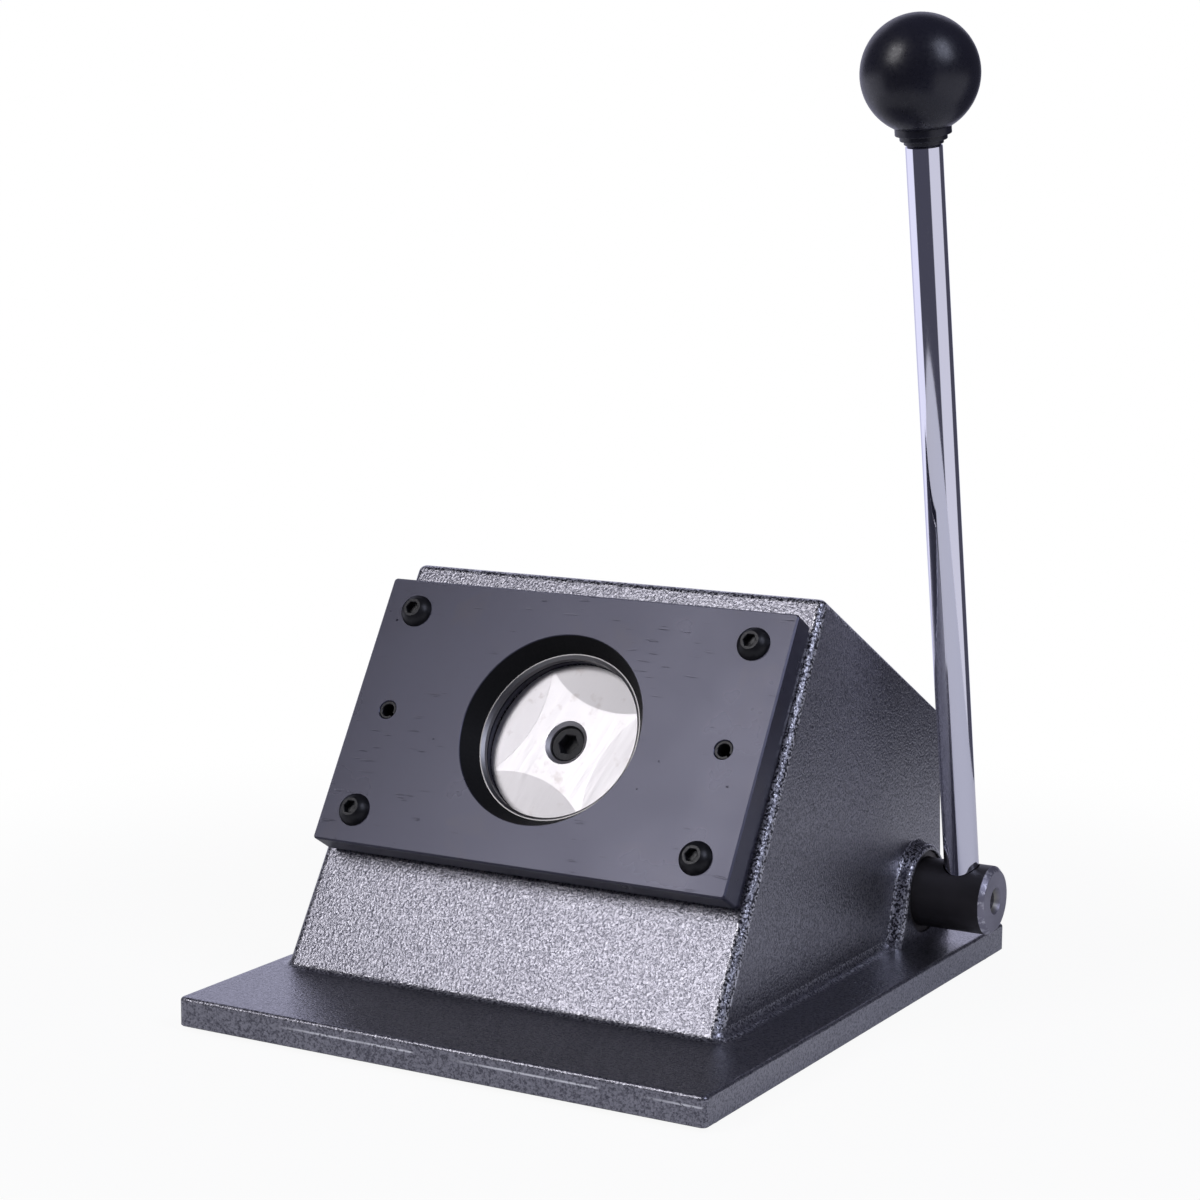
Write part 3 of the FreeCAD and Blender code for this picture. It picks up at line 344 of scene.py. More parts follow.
def hammered_paint(look):
    """Silver hammer paint: small glossy pebbles, darker in the valleys.

    Along rounded edges black and white specks are painted in for the lamps' glints and shade, with a
    painted dark middle where they turn furthest, fainter on the base and the foot fillet. Pale strokes
    along the base's front are a painted highlight of a ridge, patchy from wear, that isn't modelled.
    """
    t = material_tree("hammered_paint")
    mottle = t.noise(1.0 / look.pebble, 1.5, 0.5, distortion=0.5)
    fleck = t.vary(t.noise(2.1 / look.pebble, 1.0, 0.5), -0.2, 0.4)
    cloud = t.vary(t.noise(16.0, 2.0, 0.5), -0.06, 0.06)
    share = t.sum(t.sum(t.spread(mottle, 0.34, 0.60, 0.0, 0.8), fleck), cloud)
    colour = t.mix(t.spread(share, 0.0, 1.0), rgba(look.fleck_colour), rgba(look.paint_colour))

    x, y, z = t.parts()
    # Painted glints and shade: black and white specks and a dark middle along the rounded edges
    roundness = t.add("Attribute", attribute_name="roundness").outputs["Fac"]
    edge_glints = t.mix(t.spread(t.noise(1.05 / look.pebble, 1.0, 0.5), 0.45, 0.55),
                 rgba(look.glint_shade), rgba(look.glint_highlight))
    edge_glints = t.mix(t.spread(roundness, 0.54, 0.66, 0.0, 0.65), edge_glints, rgba(look.edge_shade_colour))
    edge_glint_mask = t.times(t.spread(roundness, 0.08, 0.18, 0.0, 0.85),
                     t.spread(z, BASE_TOP - 0.1 * mm, BASE_TOP + 0.3 * mm, 0.25, 1.0),
                     t.spread(z, BASE_TOP + 3.2 * mm, BASE_TOP + 4.8 * mm, 0.42, 1.0))
    colour = t.mix(edge_glint_mask, colour, edge_glints)

    # Painted highlight: pale strokes along the base's front for a ridge, patchy from wear, that isn't
    # modelled
    off_line = t.calc("ABSOLUTE", t.sum(z, -look.glint_line_height))
    stroke = t.calc("MODULO", t.sum(x, look.glint_stroke_shift), look.glint_stroke_pitch)
    worn_ridge_glint = t.times(t.below(off_line, 0.25 * mm, 0.5 * mm), t.spread(y, -140.9 * mm, -141.1 * mm),
                   t.spread(t.noise(30.0, 2.0, 0.5), 0.30, 0.42), t.spread(mottle, 0.28, 0.42),
                   t.spread(stroke, 0.0, 22.0 * mm), t.below(stroke, 65.0 * mm, 67.0 * mm),
                   t.spread(x, -84.0 * mm, -80.0 * mm))
    colour = t.mix(worn_ridge_glint, colour, rgba(look.glint_line_colour))

    cells = {"Vector": t.place, "Scale": 0.8 / look.pebble, "Smoothness": 0.6}
    pebbles = t.first("TexVoronoi", cells, feature="SMOOTH_F1")
    height = t.sum(t.spread(pebbles, 0.0, 0.9, 0.6, 0.0), t.vary(mottle, 0.0, 1.0))
    flakes, lacquer = t.bump(height, 0.5 * look.pebble_height), t.bump(height, look.pebble_height)
    return t.surface(Base_Color=colour, Metallic=0.95, Roughness=0.35, Specular_IOR_Level=0.5,
                     Normal=flakes, Coat_Weight=1.0, Coat_Roughness=0.13, Coat_IOR=1.5, Coat_Normal=lacquer)


def scratches(t, rotation, along, across, bare):
    """Fine scratches one way: a stretched noise, cut off where it doesn't reach bare."""
    stretch = {"Vector": t.place, "Rotation": rotation, "Scale": (along, across, across)}
    place = t.first("Mapping", stretch)
    return t.spread(t.noise(1.0, 1.0, 0.4, place), bare, bare + 0.06)


def uneven_place(t):
    """The place, shifted a little by a slow noise, so that spots aren't all round."""
    wobble = t.add("TexNoise", {"Vector": t.place, "Scale": 260.0, "Detail": 1.0})
    shift = {0: wobble.outputs["Color"], "Scale": 0.006}
    shift = t.first("VectorMath", shift, operation="SCALE")
    return t.first("VectorMath", {0: t.place, 1: shift}, operation="ADD")


def blackened_steel(name, look, handled=True):
    """Blackened tool steel: cloudy oxide and fine scratches, on a handled face more gloss and dark dings."""
    t = material_tree(name)
    cloud = t.noise(22.0, 4.0, 0.55)
    lines = t.sum(scratches(t, (0.3, 0.7, 0.5), 70.0, 620.0, 0.70),
                  scratches(t, (0.9, -0.4, 1.7), 90.0, 700.0, 0.71))
    lines = t.times(lines, t.spread(t.noise(38.0, 2.0, 0.5), 0.48, 0.60))
    colour = t.tones(cloud, look.oxide_colour, 0.82, 1.2)
    brown = t.spread(t.noise(31.0, 3.0, 0.5, distortion=0.6), 0.55, 0.75, 0.0, 0.7)
    colour = t.mix(brown, colour, rgba(look.brown_colour))
    colour = t.mix(t.times(lines, 0.6), colour, rgba(look.oxide_colour, 0.3))
    height = t.sum(t.times(t.noise(900.0, 2.0, 0.6), 0.25), t.times(lines, -1.6))
    gloss = {}
    if handled:
        gloss = {"Specular_IOR_Level": 0.7, "Specular_Tint": rgba(look.sheen_colour)}
        spots = {"Vector": uneven_place(t), "Scale": 90.0}
        spots = t.add("TexVoronoi", spots, feature="F1").outputs
        pick = t.first("SeparateColor", {0: spots["Color"]})
        ding = t.times(t.below(spots["Distance"], 0.03, 0.06), t.spread(pick, 0.25, 0.27))
        colour = t.mix(t.times(ding, 0.5), colour, rgba(look.oxide_colour, 0.4))
        height = t.sum(height, t.times(ding, -6.0))
    return t.surface(Base_Color=colour, Roughness=t.vary(cloud, 0.26, 0.32),
                     Normal=t.bump(height, 0.03 * mm, 0.8), **gloss)


def grained(name, colour, rough, grain, depth, metallic=0.0, gloss=0.5):
    """A dark finish with a fine grain in its gloss and slow clouds in its colour."""
    t = material_tree(name)
    fine = t.noise(grain, 2.0, 0.6)
    return t.surface(Base_Color=t.tones(t.noise(40.0, 3.0, 0.5), colour, 0.8, 1.25), Metallic=metallic,
                     Roughness=t.vary(fine, rough - 0.05, rough + 0.07),
                     Specular_IOR_Level=gloss, Normal=t.bump(fine, depth * mm))


def turned_metal(name, colour, rough):
    """Machined metal: a fine uneven grain with faint darker clouds."""
    t = material_tree(name)
    fine = t.noise(2600.0, 2.0, 0.7)
    return t.surface(Base_Color=t.tones(t.noise(60.0, 3.0, 0.5), colour, 0.85, 1.08), Metallic=1.0,
                     Roughness=t.vary(fine, rough - 0.05, rough + 0.06), Normal=t.bump(fine, 0.006 * mm))


def punch_place(t, turned):
    """The place across, up and out from the die's centre, turned about the way out."""
    place = t.first("Mapping", {"Vector": t.place, "Location": tuple(-DIE_CENTRE)})
    for axis, amount in (((1.0, 0.0, 0.0), LEAN - math.pi / 2), ((0.0, 0.0, 1.0), turned)):
        place = t.first("VectorRotate", {"Vector": place, "Axis": axis, "Angle": amount})
    return place


def ground_punch(look):
    """Bright ground tool steel with grinding lines and small stains.

    The place is turned so that the scallops lie up, down, left and right: all are a little darker, those up
    and down get painted shade, the left one a painted highlight.
    """
    t = material_tree("ground_punch")
    x, y, z = t.parts(punch_place(t, math.pi / 2 - look.scallop_turn))
    lay = t.first("CombineXYZ", {0: t.times(x, 1300.0), 1: t.times(y, 40.0), 2: z})
    lines = t.noise(1.0, 3.0, 0.6, lay)
    sunk = t.below(z, 0.27 * mm, 0.29 * mm)
    upright = t.calc("SUBTRACT", t.calc("ABSOLUTE", y), t.calc("ABSOLUTE", x))
    upright = t.spread(upright, -2.0 * mm, 2.0 * mm)
    left = t.times(t.spread(x, -12.0 * mm, -13.0 * mm), t.calc("SUBTRACT", 1.0, upright))
    # Painted light: all scallops a little darker, painted shade on those up and down, a painted highlight on
    # the left one
    colour = rgba(look.steel_colour)
    for where, tone in ((sunk, 0.97), (t.times(sunk, left), 1.28), (t.times(sunk, upright), 0.84)):
        colour = t.mix(where, colour, rgba(look.steel_colour, tone))
    stain = t.spread(t.noise(110.0, 3.0, 0.6), 0.60, 0.74)
    colour = t.mix(t.times(stain, 0.35), colour, rgba(look.stain_colour))
    rough = t.sum(t.vary(lines, 0.40, 0.46), t.times(sunk, 0.04))
    return t.surface(Base_Color=colour, Metallic=1.0, Roughness=rough, Normal=t.bump(lines, 0.03 * mm))


def oiled_shaft(look):
    """Oiled black steel, bare on the open end: a grey face, a chipped bright rim and a brown centre hole."""
    t = material_tree("oiled_black")
    cloud, fine = t.noise(40.0, 3.0, 0.5), t.noise(900.0, 2.0, 0.6)
    x, y, z = t.parts()
    radius = t.radius(t.sum(y, -SHAFT[1]), t.sum(z, -SHAFT[2]))
    end = t.spread(x, look.shaft_right - 2.3 * mm, look.shaft_right - 2.1 * mm)
    chip = t.times(end, t.spread(radius, 12.9 * mm, 13.1 * mm),
                   t.spread(t.noise(420.0, 2.0, 0.6), 0.48, 0.62))
    hole = t.times(end, t.below(radius, 3.2 * mm, 5.8 * mm))
    colour = t.mix(end, t.tones(cloud, look.shaft_colour, 0.8, 1.25),
                   t.tones(cloud, look.end_colour, 0.85, 1.12))
    colour = t.mix(hole, colour, rgba(look.hole_colour))
    colour = t.mix(chip, colour, rgba(look.chip_colour))
    return t.surface(Base_Color=colour, Metallic=t.spread(end, 0.0, 1.0, 0.3, 0.8),
                     Roughness=t.vary(fine, 0.38, 0.47), Normal=t.bump(fine, 0.02 * mm))


def bright_plating(look):
    """Chrome plating with the faintest orange peel under its mirror."""
    t = material_tree("bright_plating")
    return t.surface(Base_Color=rgba(look.plating_colour), Metallic=1.0,
                     Roughness=t.vary(t.noise(30.0, 3.0, 0.5), 0.04, 0.09),
                     Normal=t.bump(t.noise(180.0, 2.0, 0.4), 0.002 * mm))


# ---------------------------------------------------------------- sizes and colours

def length(name, description, value):
    """A length property, given in millimetres."""
    return FloatProperty(name=name, description=description, default=value * mm, unit="LENGTH", precision=5)


def angle(name, description, value):
    """An angle property, given in degrees."""
    return FloatProperty(name=name, description=description, default=math.radians(value), unit="ROTATION")


def tint(name, description, value):
    """A linear colour property."""
    return FloatVectorProperty(name=name, description=description, default=value, subtype="COLOR",
                               min=0.0, max=1.0)


def watts(name, description, value):
    """A lamp's power in watts."""
    return FloatProperty(name=name, description=description, default=value, min=0, unit="POWER")


class CastingLook(bpy.types.PropertyGroup):
    """Sizes and paint of the frame casting."""

    foot_width: length("Foot width", "Width of the wedge where it meets the base", 205.0)
    slope_length: length("Slope length", "From the front foot to the ridge, up the slope", 186.8)
    rear_top: length("Rear top", "Height of the rear wall's top edge", 107.9564)
    side_draft: angle("Side draft", "Lean of the side walls", 1.235)
    rear_draft: angle("Rear draft", "Lean of the rear wall", 1.0)
    ridge_radius: length("Ridge radius", "Rounding of the wedge's edges at the ridge", 3.6)
    front_radius: length("Front radius", "Rounding of the slope's edges at its foot", 4.5)
    rear_radius: length("Rear radius", "Rounding of the rear wall's edges", 1.2)
    foot_fillet: length("Foot fillet", "Fillet between wedge and base", 4.5)
    chamber_radius: length("Chamber radius", "Bore behind the punch", 36.5)
    base_corner: length("Base corner", "Corner radius of the base", 2.6)
    base_edge: length("Base edge", "Rounding of the base's top edge", 1.6)
    boss_radius: length("Boss radius", "Arch of the lever boss", 20.8)
    boss_face: length("Boss face", "X of the boss's face", 89.6)
    boss_flare: angle("Boss flare", "Lean of the boss's flanks", 20.0)
    boss_edge: length("Boss edge", "Rounding of the boss's rim", 2.1)
    boss_root: length("Boss root", "Fillet between boss and wall", 1.6)
    pebble: length("Pebble", "Width of one pebble of the hammer paint", 1.05)
    pebble_height: length("Pebble height", "Depth of the paint's relief", 0.15)
    paint_colour: tint("Paint", "Pale colour of the hammer paint", (0.325, 0.321, 0.362))
    fleck_colour: tint("Fleck", "Dark colour between the pebbles", (0.075, 0.075, 0.097))
    # Painted glints and shade along the rounded edges: dark specks, pale specks and a dark middle
    glint_shade: tint("Dark grit", "Dark grains along rounded edges", (0.02, 0.02, 0.03))
    glint_highlight: tint("Pale grit", "Pale grains along rounded edges", (0.95, 0.95, 1.0))
    edge_shade_colour: tint("Edge", "Middle of the rounded edges", (0.04, 0.04, 0.055))
    # Painted highlight of a ridge along the base's front, in strokes where the wear leaves it
    glint_line_height: length("Wear height", "Height of the worn line along the base's front", 9.7)
    glint_stroke_pitch: length("Wear pitch", "From one worn stroke to the next", 82.0)
    glint_stroke_shift: length("Wear shift", "Moves the worn strokes to the left", 329.0)
    glint_line_colour: tint("Wear", "Pale colour of the worn line", (0.9, 0.9, 0.92))


class DieLook(bpy.types.PropertyGroup):
    """Sizes and oxide of the die stack."""

    width: length("Width", "Die plate across", 195.0)
    height: length("Height", "Die plate up the slope", 120.0)
    thickness: length("Thickness", "Die plate", 12.0)
    corner: length("Corner", "Corner radius", 1.5)
    chamfer: length("Chamfer", "Front edge chamfer", 0.7)
    mouth: length("Mouth", "Radius of the mouth at the front", 41.7)
    screw_x: length("Screw spacing", "Across, between screws", 162.0)
    screw_y: length("Screw spacing up", "Up the slope, between screws", 91.0)
    pin_x: length("Pin spacing", "Between locating pins", 160.5)
    oxide_colour: tint("Oxide", "Colour of the blackened steel", (0.019, 0.019, 0.032))
    brown_colour: tint("Brown", "Brownish patches of the oxide", (0.033, 0.026, 0.024))
    sheen_colour: tint("Sheen", "Tint of the oxide's reflections", (0.80, 0.80, 1.0))
    # Painted shade: the mouth's wall is near black, darker than the oxide
    wall_shade_colour: tint("Mouth wall", "Wall of the mouth", (0.003, 0.003, 0.0035))
    land_colour: tint("Cutting land", "Bare steel round the punch", (0.22, 0.215, 0.215))
    screw_colour: tint("Screw black", "Colour of the screws and pins", (0.012, 0.012, 0.014))


class PunchLook(bpy.types.PropertyGroup):
    """Sizes and steel of the punch."""

    radius: length("Radius", "Cutting radius of the punch", 35.0)
    scallop_radius: length("Scallop radius", "Radius of each ground scallop", 49.0)
    scallop_slope: angle("Scallop slope", "Slope of the scallops", 3.6)
    scallop_turn: angle("Scallop turn", "Direction of the first scallop", 72.5)
    counterbore: length("Counterbore", "Radius of the screw's counterbore", 9.6)
    steel_colour: tint("Steel", "Colour of the ground steel", (0.66, 0.645, 0.65))
    stain_colour: tint("Stain", "Colour of the small stains", (0.30, 0.24, 0.21))


class LeverLook(bpy.types.PropertyGroup):
    """Sizes and finishes of the shaft, rod and ball."""

    shaft_radius: length("Shaft radius", "Cross shaft", 15.0)
    shaft_left: length("Shaft left end", "X of the blind end", -116.6)
    shaft_right: length("Shaft right end", "X of the open end", 121.55)
    spot_radius: length("Spot face radius", "Spot face under the rod", 7.9)
    spot_height: length("Spot face height", "Height of the spot face above the axis", 12.9)
    rod_radius: length("Rod radius", "Lever rod", 7.5)
    rod_top: length("Rod top", "Where the rod's full width ends", 327.2)
    ball_radius: length("Ball radius", "Ball knob", 23.99)
    ball_height: length("Ball height", "Ball centre along the lever", 355.0)
    shaft_colour: tint("Shaft black", "Oiled black of the shaft", (0.042, 0.039, 0.041))
    end_colour: tint("Shaft end", "Worn steel of the shaft's open end", (0.30, 0.29, 0.34))
    hole_colour: tint("Centre hole", "Brown of the shaft's centre hole", (0.30, 0.29, 0.20))
    chip_colour: tint("Chips", "Bare steel on the rim of the shaft's end", (0.75, 0.74, 0.78))
    plating_colour: tint("Plating", "Tint of the chrome", (0.86, 0.86, 0.95))
    ball_colour: tint("Ball", "Phenolic of the ball", (0.011, 0.011, 0.020))
    bush_colour: tint("Bush", "Dark bronze of the right bush", (0.16, 0.15, 0.15))


class StageLook(bpy.types.PropertyGroup):
    """Floor, background and lamps."""

    floor_colour: tint("Floor", "Colour of the floor", (0.9, 0.9, 0.9))
    room_colour: tint("Room", "What dark parts of the room look like in reflections", (0.065, 0.065, 0.09))
    table_radius: length("Table radius", "Edge of the pale table top", 560.0)
    table_glow: FloatProperty(name="Table glow", description="How white the table stays in shadow",
                              default=0.93, min=0, max=1)
    world_level: FloatProperty(name="World level", description="Strength of the soft light all round",
                               default=0.25, min=0)
    key_power: watts("Soft box", "Power of the front soft box", 26.0)
    fill_power: watts("Side box", "Power of the side soft box", 33.0)
    lens: FloatProperty(name="Lens", description="Focal length on a 36 mm sensor",
                        default=83.155, unit="CAMERA")


# ---------------------------------------------------------------- casting

def half_width(look, z):
    """Half the wedge's width at a height."""
    return look.foot_width / 2 - (z - BASE_TOP) * math.tan(look.side_draft)


def wedge_body(look):
    """The wedge: its inset core swept by a ball, whose radius differs by corner, so that every edge is round.

    Round the side profile runs the angle psi of the normal, across the body runs theta:
    point = core corner + radius (sin theta along x, cos theta times the profile's normal).
    The front face is left out and filled by the panel round the punch's chamber.
    """
    r = np.array([look.rear_radius, look.rear_radius, look.ridge_radius, look.front_radius])
    ridge = np.array([FOOT_Y, BASE_TOP]) + look.slope_length * np.array([math.sin(LEAN), math.cos(LEAN)])
    shoulder = np.array([REAR_Y - (look.rear_top - BASE_TOP) * math.tan(look.rear_draft), look.rear_top])
    fall = unit(ridge - shoulder)
    normals = np.array([[math.cos(look.rear_draft), math.sin(look.rear_draft)], [fall[1], -fall[0]],
                        [-math.cos(LEAN), math.sin(LEAN)]])
    normals[1] *= np.sign(normals[1][1])
    lines = np.vstack([normals, [[0.0, 1.0]]])
    offsets = np.append((normals * [shoulder, ridge, ridge]).sum(1), HIDDEN_FOOT)
    inset = np.array([1, 1, 1, 0])
    core = np.stack([np.linalg.solve(lines[[a, b]], (offsets - radius * inset)[[a, b]])
                     for (a, b), radius in zip(((3, 0), (0, 1), (1, 2), (2, 3)), r)])
    psi = np.arctan2(normals[:, 1], normals[:, 0])
    starts, ends = np.array([-np.pi / 2, *psi]), np.array([*psi, 1.5 * np.pi])
    fan, sweep = 13, 11
    fans = starts[:, None] + (ends - starts)[:, None] * np.linspace(0, 1, fan)
    q, ball = np.repeat(core, fan, 0), np.repeat(r, fan)[:, None]
    n = np.stack([np.cos(fans), np.sin(fans)], -1).reshape(-1, 2)
    theta = np.concatenate([np.linspace(-np.pi / 2, 0, sweep), np.linspace(0, np.pi / 2, sweep)])
    side = np.repeat([-1.0, 1.0], sweep)
    half = half_width(look, q[:, 1:]) - ball / math.cos(look.side_draft)
    reach = ball * np.cos(theta)
    grid = np.stack([BODY_X + side * half + ball * np.sin(theta),
                     q[:, :1] + reach * n[:, :1], q[:, 1:] + reach * n[:, 1:]], -1)
    middle = core.mean(0)
    cap = half_width(look, middle[1]) - r.mean() * (1 / math.cos(look.side_draft) - 1)
    poles = [np.broadcast_to(np.array([BODY_X + s * cap, *middle]), (len(q), 1, 3)) for s in (-1, 1)]
    grid = np.concatenate([poles[0], grid, poles[1]], 1)
    points, quads = quads_of(grid)
    last, first = 3 * fan - 1, 3 * fan
    front = last * (grid.shape[1] - 1) + sweep
    corners = grid[[last, last, first, first], [sweep + 1, sweep, sweep, sweep + 1]]
    return together((points, np.delete(quads, front, 0)), bored_panel(look.chamber_radius, corners))


def bored_panel(bore, corners):
    """A flat panel from its four corners to the chamber, whose wall runs straight back to a closed floor."""
    angles, corner = hole_turn(128)
    circle = on_slope(ring_grid([(bore, 0.0)], angles)[:, 0])
    depth = -18.0 * mm * OUTWARD
    floor = np.broadcast_to(circle.mean(0) + depth, circle.shape)
    return quads_of(np.stack([corners[corner], circle, circle + depth, floor], 1))


def foot_fillet(look):
    """The fillet round the wedge's foot: a ball rolled along the base and the wall.

    At each normal n of the wall, ball centre = edge line + (edge radius + fillet radius) n at the
    height of one fillet radius; the section is the arc from -n to straight down. The edge radius is
    the front's or the rear's.
    """
    f = look.foot_fillet
    up = np.array([0.0, 0, 1])
    front, rear = OUTWARD, np.array([0.0, math.cos(look.rear_draft), math.sin(look.rear_draft)])
    right = np.array([math.cos(look.side_draft), 0.0, math.sin(look.side_draft)])
    left = right * [-1, 1, 1]
    share = np.linspace(0, 1, 9)
    centres, walls = [], []
    for a, b, s in ((front, right, 1), (right, rear, 1), (rear, left, -1), (left, front, -1)):
        at_front = front is a or front is b
        r, foot, end = (look.front_radius, FOOT_Y, front) if at_front else (look.rear_radius, REAR_Y, rear)
        n = between(a[None], b[None], share[:, None])
        z = BASE_TOP + f - (r + f) * n[:, 2]
        y = foot - (r + (z - BASE_TOP) * end[2]) / end[1]
        x = BODY_X + s * (half_width(look, z) - r / math.cos(look.side_draft))
        centres.append(np.stack([x, y, z], 1) + (r + f) * n)
        walls.append(n)
    c, n = np.vstack(centres), np.vstack(walls)
    arc = c[:, None] + f * between(-n[:, None], -up[None, None], share[None, :, None])
    inner = c - 1.35 * f * (n + up) / (1 + n[:, 2:])
    return quads_of(np.concatenate([arc, inner[:, None]], 1), True, True)


def base_slab(look):
    """The base: a rounded rectangle in rings, round over its top edge, recessed below for the cover."""
    edge, heading = rounded_rectangle(*BASE, look.base_corner)
    recess, _ = rounded_rectangle(*RECESS, 6.5 * mm)
    n = outward_of(heading)
    phi = np.linspace(0, np.pi / 2, 9)
    e, chamfer = look.base_edge, 0.5 * mm
    inset = np.concatenate([[chamfer, 0, 0], e * (1 - np.cos(phi))])
    height = np.concatenate([[UNDERSIDE, UNDERSIDE + chamfer, 6 * mm], BASE_TOP - e + e * np.sin(phi)])
    below = [raised(0 * recess + recess.mean(0), RECESS_TOP), raised(recess, RECESS_TOP),
             raised(recess, UNDERSIDE)]
    side = [raised(edge - i * n, z) for i, z in zip(inset, height)]
    return quads_of(np.stack([*below, *side, raised(0 * edge + edge.mean(0), BASE_TOP)], 1))


def lever_boss(look):
    """The arched boss: its outline carried out of the wall in rings, each moved along the outline's normal.

    The rings make the root fillet, the straight flank, the round rim, the face and the bore. Below the
    arch the rim's radius grows with the depth, to 1.8 times at 9 mm.
    """
    r, flare = look.boss_radius, look.boss_flare
    low = HIDDEN_FOOT - SHAFT[2]
    flank = np.array([math.cos(flare), math.sin(flare)])
    touch = r * flank
    reach = touch[0] + (touch[1] - low) * math.tan(flare)
    down = np.linspace(0, 1, 14)[:-1, None]
    right = np.array([reach, low]) * (1 - down) + touch * down
    arc = np.linspace(flare, np.pi - flare, 49)
    crown = np.stack([np.cos(arc), np.sin(arc)], 1)
    left = (right * [-1, 1])[::-1]
    bottom = np.stack([np.linspace(-reach, reach, 12)[1:-1], np.full(10, low)], 1)
    outline = np.vstack([right, r * crown, left, bottom])
    normal = np.vstack([0 * right + flank, crown, 0 * left + flank * [-1, 1], 0 * bottom])
    wall = BODY_X + half_width(look, outline[:, 1:] + SHAFT[2])
    root, face = look.boss_root, look.boss_face
    rim = look.boss_edge * (1 + 0.8 * np.clip((touch[1] - outline[:, 1:]) / (9 * mm), 0, 1))
    curve = [(math.sin(phi), math.cos(phi)) for phi in np.linspace(0, np.pi / 2, 7)]
    rings = [(root, wall - 0.5 * mm)]
    rings += [(root * (1 - sine), wall + root * (1 - cosine)) for sine, cosine in curve]
    rings += [(rim * (cosine - 1), face - rim + rim * sine) for sine, cosine in curve]
    skin = [raised(outline + out * normal, x) for out, x in rings]
    aim = unit(outline - rim * normal)
    bores = (18.25, 0.0), (18.02, 0.3), (18.02, 7.0)
    holes = [raised(radius * mm * aim, face - deep * mm) for radius, deep in bores]
    return quads_of(about_shaft(np.stack([*skin, *holes], 1)), True, True)


def mark_roundness(mesh):
    """An attribute for the paint: the angle from each corner's normal to the nearest flat of the casting."""
    normals = np.empty(3 * len(mesh.loops), np.float32)
    mesh.corner_normals.foreach_get("vector", normals)
    normals = normals.reshape(-1, 3)
    flats = np.hstack([np.abs(normals), (normals @ OUTWARD)[:, None], (normals @ ROOF)[:, None]])
    layer = mesh.attributes.new("roundness", "FLOAT", "CORNER")
    layer.data.foreach_set("value", np.arccos(np.clip(flats.max(1), -1, 1)).astype(np.float32))


class CUTTER_OT_casting(bpy.types.Operator):
    """Build the painted frame casting: wedge, foot fillet, base and lever boss"""

    bl_idname = "cutter.casting"
    bl_label = "Frame casting"

    def execute(self, context):
        look = context.scene.cutter_casting
        shells = [wedge_body(look), foot_fillet(look), base_slab(look), lever_boss(look)]
        casting = build("casting", shells, hammered_paint(look), "frame", ["frame_casting"])
        mark_roundness(casting.data)
        return {"FINISHED"}


# ---------------------------------------------------------------- die stack

def holed_patch(u, v, centre, rings, count):
    """A panel through the plate: front corners, the hole's rings of (radius, height), back corners."""
    angles, corner = hole_turn(count)
    corners = np.array([[u[1], v[1]], [u[0], v[1]], [u[0], v[0]], [u[1], v[0]]])[corner]
    front, back = (raised(corners, rings[k][1])[:, None] for k in (0, -1))
    hole = ring_grid(rings, angles) + [centre, 0, 0]
    return quads_of(np.concatenate([front, hole, back], 1))


def die_plate(look):
    """The die: a rim of rings round the outline and three holed panels for the mouth and the pins."""
    w, h, top, back = look.width / 2, look.height / 2, STACK, STACK - look.thickness
    cut, inset, seam = look.chamfer, 2.5 * mm, 60 * mm
    edge, heading = rounded([(w, -h), (w, h), (-w, h), (-w, -h)], look.corner, 4, True)
    n = outward_of(heading)
    place = [10, 10, 20, 20]
    edge = np.insert(edge, place, [(seam, h), (-seam, h), (-seam, -h), (seam, -h)], 0)
    n = np.insert(n, place, [(0, 1), (0, 1), (0, -1), (0, -1)], 0)
    inner = np.clip(edge, [inset - w, inset - h], [w - inset, h - inset])
    break_back = 0.3 * mm
    sides = ((break_back, back), (0, back + break_back), (0, top - cut), (cut, top))
    rings = [raised(inner, back), *(raised(edge - o * n, z) for o, z in sides), raised(inner, top)]
    u, v = w - inset, (inset - h, h - inset)
    lip, ledge, throat = 0.35 * mm, 7.1 * mm, 35.04 * mm
    mouth = [(look.mouth + lip, top), (look.mouth, top - lip), (LAND, ledge), (LAND - 0.5 * mm, ledge),
             (throat, 5.9 * mm), (throat, back)]
    pin = [(4.35 * mm, top), (4.02 * mm, top - 0.33 * mm), (4.02 * mm, back)]
    points, quads = together(quads_of(np.stack(rings, 1)), holed_patch((-seam, seam), v, 0.0, mouth, 160),
                             holed_patch((seam, u), v, look.pin_x / 2, pin, 40),
                             holed_patch((-u, -seam), v, -look.pin_x / 2, pin, 40))
    return on_slope(points), quads


def die_faces(look, mesh):
    """The die's material numbers by the distance from its axis: 2 cutting land, 1 wall in painted shade, 0
    the rest.
    """
    middles = np.empty(3 * len(mesh.polygons))
    mesh.polygons.foreach_get("center", middles)
    middles = middles.reshape(-1, 3) - DIE_CENTRE
    radius = np.hypot(middles @ ACROSS, middles @ UP_SLOPE)
    number = np.where(radius < LAND - 0.05 * mm, 2, np.where(radius < look.mouth - 0.3 * mm, 1, 0))
    mesh.polygons.foreach_set("material_index", number.astype(np.int32))


def socket_head(radius, rim, crown, rise, across, depth, bulge, tail):
    """A round head with a hexagon socket and its shank, as rings about its axis, given in millimetres.

    The dome is an arc from the rim to the crown; the socket's ring at angle a has
    radius = half the width across flats / cos(angle from the nearest flat's middle).
    """
    a = turn(72)
    flats = across / 2 / np.cos(a % (np.pi / 3) - np.pi / 6)
    share = np.linspace(0, 1, 8)[:, None]
    start, end = np.array([radius, rim]), np.array([crown, rise])
    chord = end - start
    out = np.array([chord[1], -chord[0]]) / np.hypot(*chord)
    dome = start + chord * share + out * 4 * bulge * share * (1 - share)
    bevel, point = 0.25, 0.5
    floor = rise - depth
    socket = [(flats + bevel, rise), (flats, rise - bevel), (flats, floor), (0.0, floor - point)]
    return ring_grid([*tail, (radius, 0.0), *dome, *socket], a) * mm


